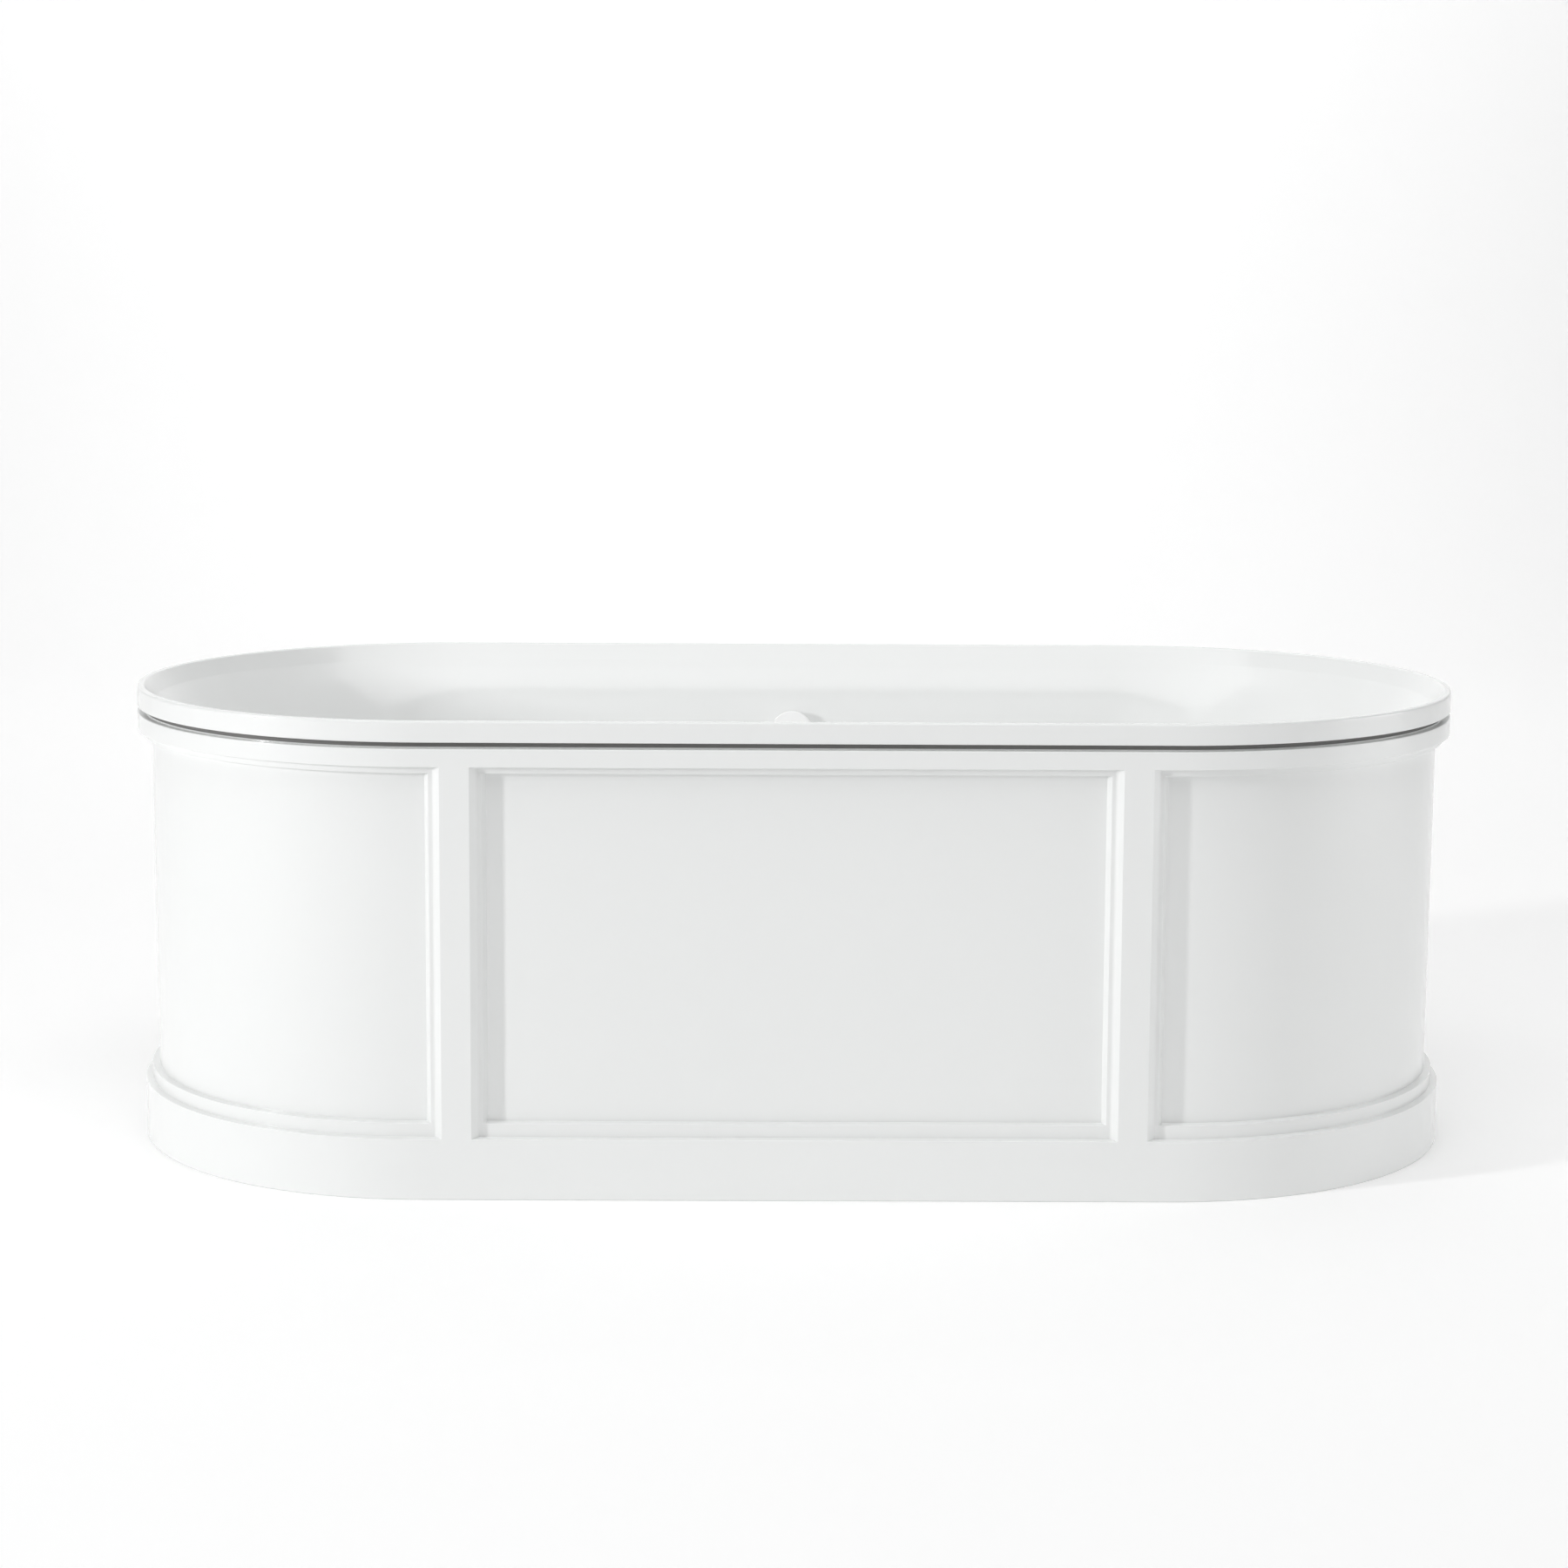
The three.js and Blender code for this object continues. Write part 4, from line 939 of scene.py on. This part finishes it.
def hexagon(name, across, bottom, top, finish, bore=0.0):
    """A hexagon nut or head: across is its half width over the flats."""
    corner = across / math.cos(math.pi / 6)
    rows = [(across, bottom), (corner, bottom + 0.8), (corner, top - 0.8), (across, top)]
    rings = [hexagon_ring(across, turning, z) for turning, z in rows]
    if bore:
        # Turned off to its own half width, a ring is a plain circle.
        rings += [hexagon_ring(bore, bore, top), hexagon_ring(bore, bore, bottom)]
    obj = ring_mesh(name, rings, finish, hollow=bool(bore))
    finish_hard_edges(obj)
    return obj


def threaded_rod(name, radius, bottom, top, finish, sides=20, rows_per_turn=5):
    """A rod with a fine helical thread and a smaller plain ring at each end."""
    count = int((top - bottom) / THREAD_PITCH * rows_per_turn)
    rings = []
    for r in range(count + 1):
        z = bottom + (top - bottom) * r / count
        ring = []
        for i in range(sides):
            angle = i / sides * 2 * math.pi
            phase = ((z - bottom) / THREAD_PITCH - i / sides) % 1.0
            depth = 1.0 if r in (0, count) else THREAD_DEPTH * (1 - abs(2 * phase - 1))
            reach = radius - depth
            ring.append((reach * math.cos(angle), reach * math.sin(angle), z))
        rings.append(ring)
    return ring_mesh(name, rings, finish)


def make_foot(place_name, corner):
    """One levelling foot with its pad, threaded stud and lock nut."""
    steel, body = FINISHES["zinc_steel"], f"foot_{place_name}"
    here = corner @ shifted(0, -FOOT_Y)
    socket = FOOT_STUD + GAP
    corners = [(0, 0), (28, 0), (28, 5), (25, 8), (13, 9), (12, 22), (socket, 22)]
    corners += [(socket, FOOT_SOCKET_BOTTOM), (0, FOOT_SOCKET_BOTTOM)]
    pad = turned(f"pad_{place_name}", fillet(corners, 0.8, 4), FINISHES["black_plastic"])
    place(pad, f"foot_pad_{place_name}", body, here)
    stud = threaded_rod(f"stud_{place_name}", FOOT_STUD, FOOT_SOCKET_BOTTOM + GAP, STUD_TOP, steel)
    grip = hexagon(f"stud_grip_{place_name}", 8.6, 24, 33, steel)
    grip.matrix_world = here
    place(stud, f"foot_stud_{place_name}", body, here)
    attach(grip, body)
    top = RAIL_TOP - RAIL_HEIGHT - GAP
    nut = hexagon(f"nut_{place_name}", 9.5, top - 9, top, steel, bore=socket)
    place(nut, f"foot_nut_{place_name}", "tub", here)


def make_screw(place_name, corner):
    """A countersunk cross-head screw and a hexagon bolt at one bracket."""
    steel = FINISHES["zinc_steel"]
    head = -(BATTEN_FACE - GAP - BRACKET_WALL - GAP)
    corners = [(0, -3), (2.6, -3), (4, -1.6), (4, 0), (2, 0), (2, 22), (0, 25)]
    screw = turned(f"screw_{place_name}", fillet(corners, 0.3, 3), steel, 48)
    cross = [block("cross", size, steel) for size in ((4.4, 0.9, 3.2), (0.9, 4.4, 3.2))]
    for arm in cross:
        arm.matrix_world = shifted(0, 0, -3)
    screw.modifiers.clear()
    combine(screw, cross, "DIFFERENCE")
    finish_hard_edges(screw)
    out = corner @ shifted(0, head, SCREW_Z) @ Matrix.Rotation(math.pi / 2, 4, "X")
    place(screw, f"bracket_screw_{place_name}", "tub", out)
    seat = RAIL_TOP + GAP + BRACKET_WALL + GAP
    bolt = threaded_rod(f"bolt_{place_name}", 3, seat - 14, seat + 1, steel, 16)
    head_piece = hexagon(f"bolt_head_{place_name}", 5.0, seat, seat + 4, steel)
    here = corner @ shifted(0, -BRACKET_BOLT_Y)
    head_piece.matrix_world = here
    place(bolt, f"bracket_bolt_{place_name}", "tub", here)
    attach(head_piece, "tub")


def make_frame_hardware():
    """Feet, screws and bolts at the four corners."""
    for end, x in (("left", -RAIL_X), ("right", RAIL_X)):
        for side, turn in (("front", 0.0), ("rear", math.pi)):
            corner = shifted(x) @ Matrix.Rotation(turn, 4, "Z")
            make_foot(f"{side}_{end}", corner)
            make_screw(f"{side}_{end}", corner)


# ---- carried-over CAD nodes -------------------------------------------------------------------
def dress_cad_nodes():
    """Gives every shown CAD node the finish of its material slot."""
    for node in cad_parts.values():
        if node.hide_render:
            continue
        slot = node.data.materials[0].name.split(".")[0] if node.data.materials else "zinc_steel"
        finish = FINISHES.get(slot, FINISHES["zinc_steel"])
        node.data.materials.clear()
        node.data.materials.append(finish)
        edges = node.modifiers.new("eased_edges", "BEVEL")
        edges.width = 0.6 * MM
        edges.segments = 2
        edges.limit_method = "ANGLE"
        edges.angle_limit = math.radians(40)


# ---- studio -----------------------------------------------------------------------------------
def make_floor():
    """A pale floor that curves up into a backdrop."""
    finish = bpy.data.materials.new("studio_floor")
    finish.use_nodes = True
    shader = finish.node_tree.nodes["Principled BSDF"]
    shader.inputs["Base Color"].default_value = (0.96, 0.96, 0.96, 1)
    shader.inputs["Roughness"].default_value = 0.9
    shader.inputs["Emission Color"].default_value = (1, 1, 1, 1)
    shader.inputs["Emission Strength"].default_value = FLOOR_GLOW
    bend_start, bend_steps = FLOOR_BACK - FLOOR_BEND, 12
    line = [(FLOOR_FRONT, 0.0), (bend_start, 0.0)]
    for i in range(1, bend_steps + 1):
        angle = i / bend_steps * math.pi / 2
        line.append((bend_start + FLOOR_BEND * math.sin(angle), FLOOR_BEND - FLOOR_BEND * math.cos(angle)))
    line.append((FLOOR_BACK, BACKDROP_HEIGHT))
    sides = (-FLOOR_HALF_WIDTH, FLOOR_HALF_WIDTH)
    points = [(x * 1000, y * 1000, z * 1000) for x in sides for y, z in line]
    count = len(line)
    faces = [(i, count + i, count + i + 1, i + 1) for i in range(count - 1)]
    floor = make_mesh("studio_floor", points, faces, finish)


def add_area_light(name, location, target, size, radiance):
    """A rectangular light that faces a target. radiance is the brightness of its face."""
    light = bpy.data.lights.new(name, "AREA")
    light.shape = "RECTANGLE"
    light.size, light.size_y = size
    light.energy = radiance * math.pi * size[0] * size[1]
    holder = bpy.data.objects.new(name, light)
    holder.location = location
    holder.rotation_mode = "QUATERNION"
    holder.rotation_quaternion = (Vector(target) - Vector(location)).to_track_quat("-Z", "Y")
    bpy.context.scene.collection.objects.link(holder)


def make_lights():
    """The soft boxes, in a world that is otherwise dark."""
    world = bpy.data.worlds.new("studio")
    world.use_nodes = True
    background = world.node_tree.nodes["Background"]
    background.inputs["Color"].default_value = (1, 1, 1, 1)
    background.inputs["Strength"].default_value = 0.0
    bpy.context.scene.world = world
    for name, settings in LIGHTS.items():
        add_area_light(name, *settings)


def make_camera():
    """The camera at the height and angle that show the front, the rim and a little of the inside."""
    tilt = Matrix.Rotation(CAMERA_PITCH, 3, "X") @ Matrix.Rotation(CAMERA_ROLL, 3, "Y")
    aim = Matrix.Rotation(CAMERA_YAW, 3, "Z") @ tilt @ Matrix.Rotation(math.pi / 2, 3, "X")
    data = bpy.data.cameras.new("camera")
    data.sensor_width = 36
    data.lens = CAMERA_LENS
    data.shift_y = CAMERA_SHIFT
    camera = bpy.data.objects.new("camera", data)
    camera.matrix_world = Matrix.Translation(CAMERA_PLACE) @ aim.to_4x4()
    bpy.context.scene.collection.objects.link(camera)
    bpy.context.scene.camera = camera


make_basin()
make_skirt("skirt_front_shell", "skirt_front", 0.0)
make_skirt("skirt_rear_shell", "skirt_rear", math.pi)
make_rim_seal()
make_knob()
make_strainer()
make_overflow_body()
make_overflow_gasket()
make_hoses()
make_flange()
make_plug()
make_waste_body()
make_trap()
make_frame_hardware()
dress_cad_nodes()
make_floor()
make_lights()
make_camera()
bpy.context.scene.view_settings.view_transform = "Standard"
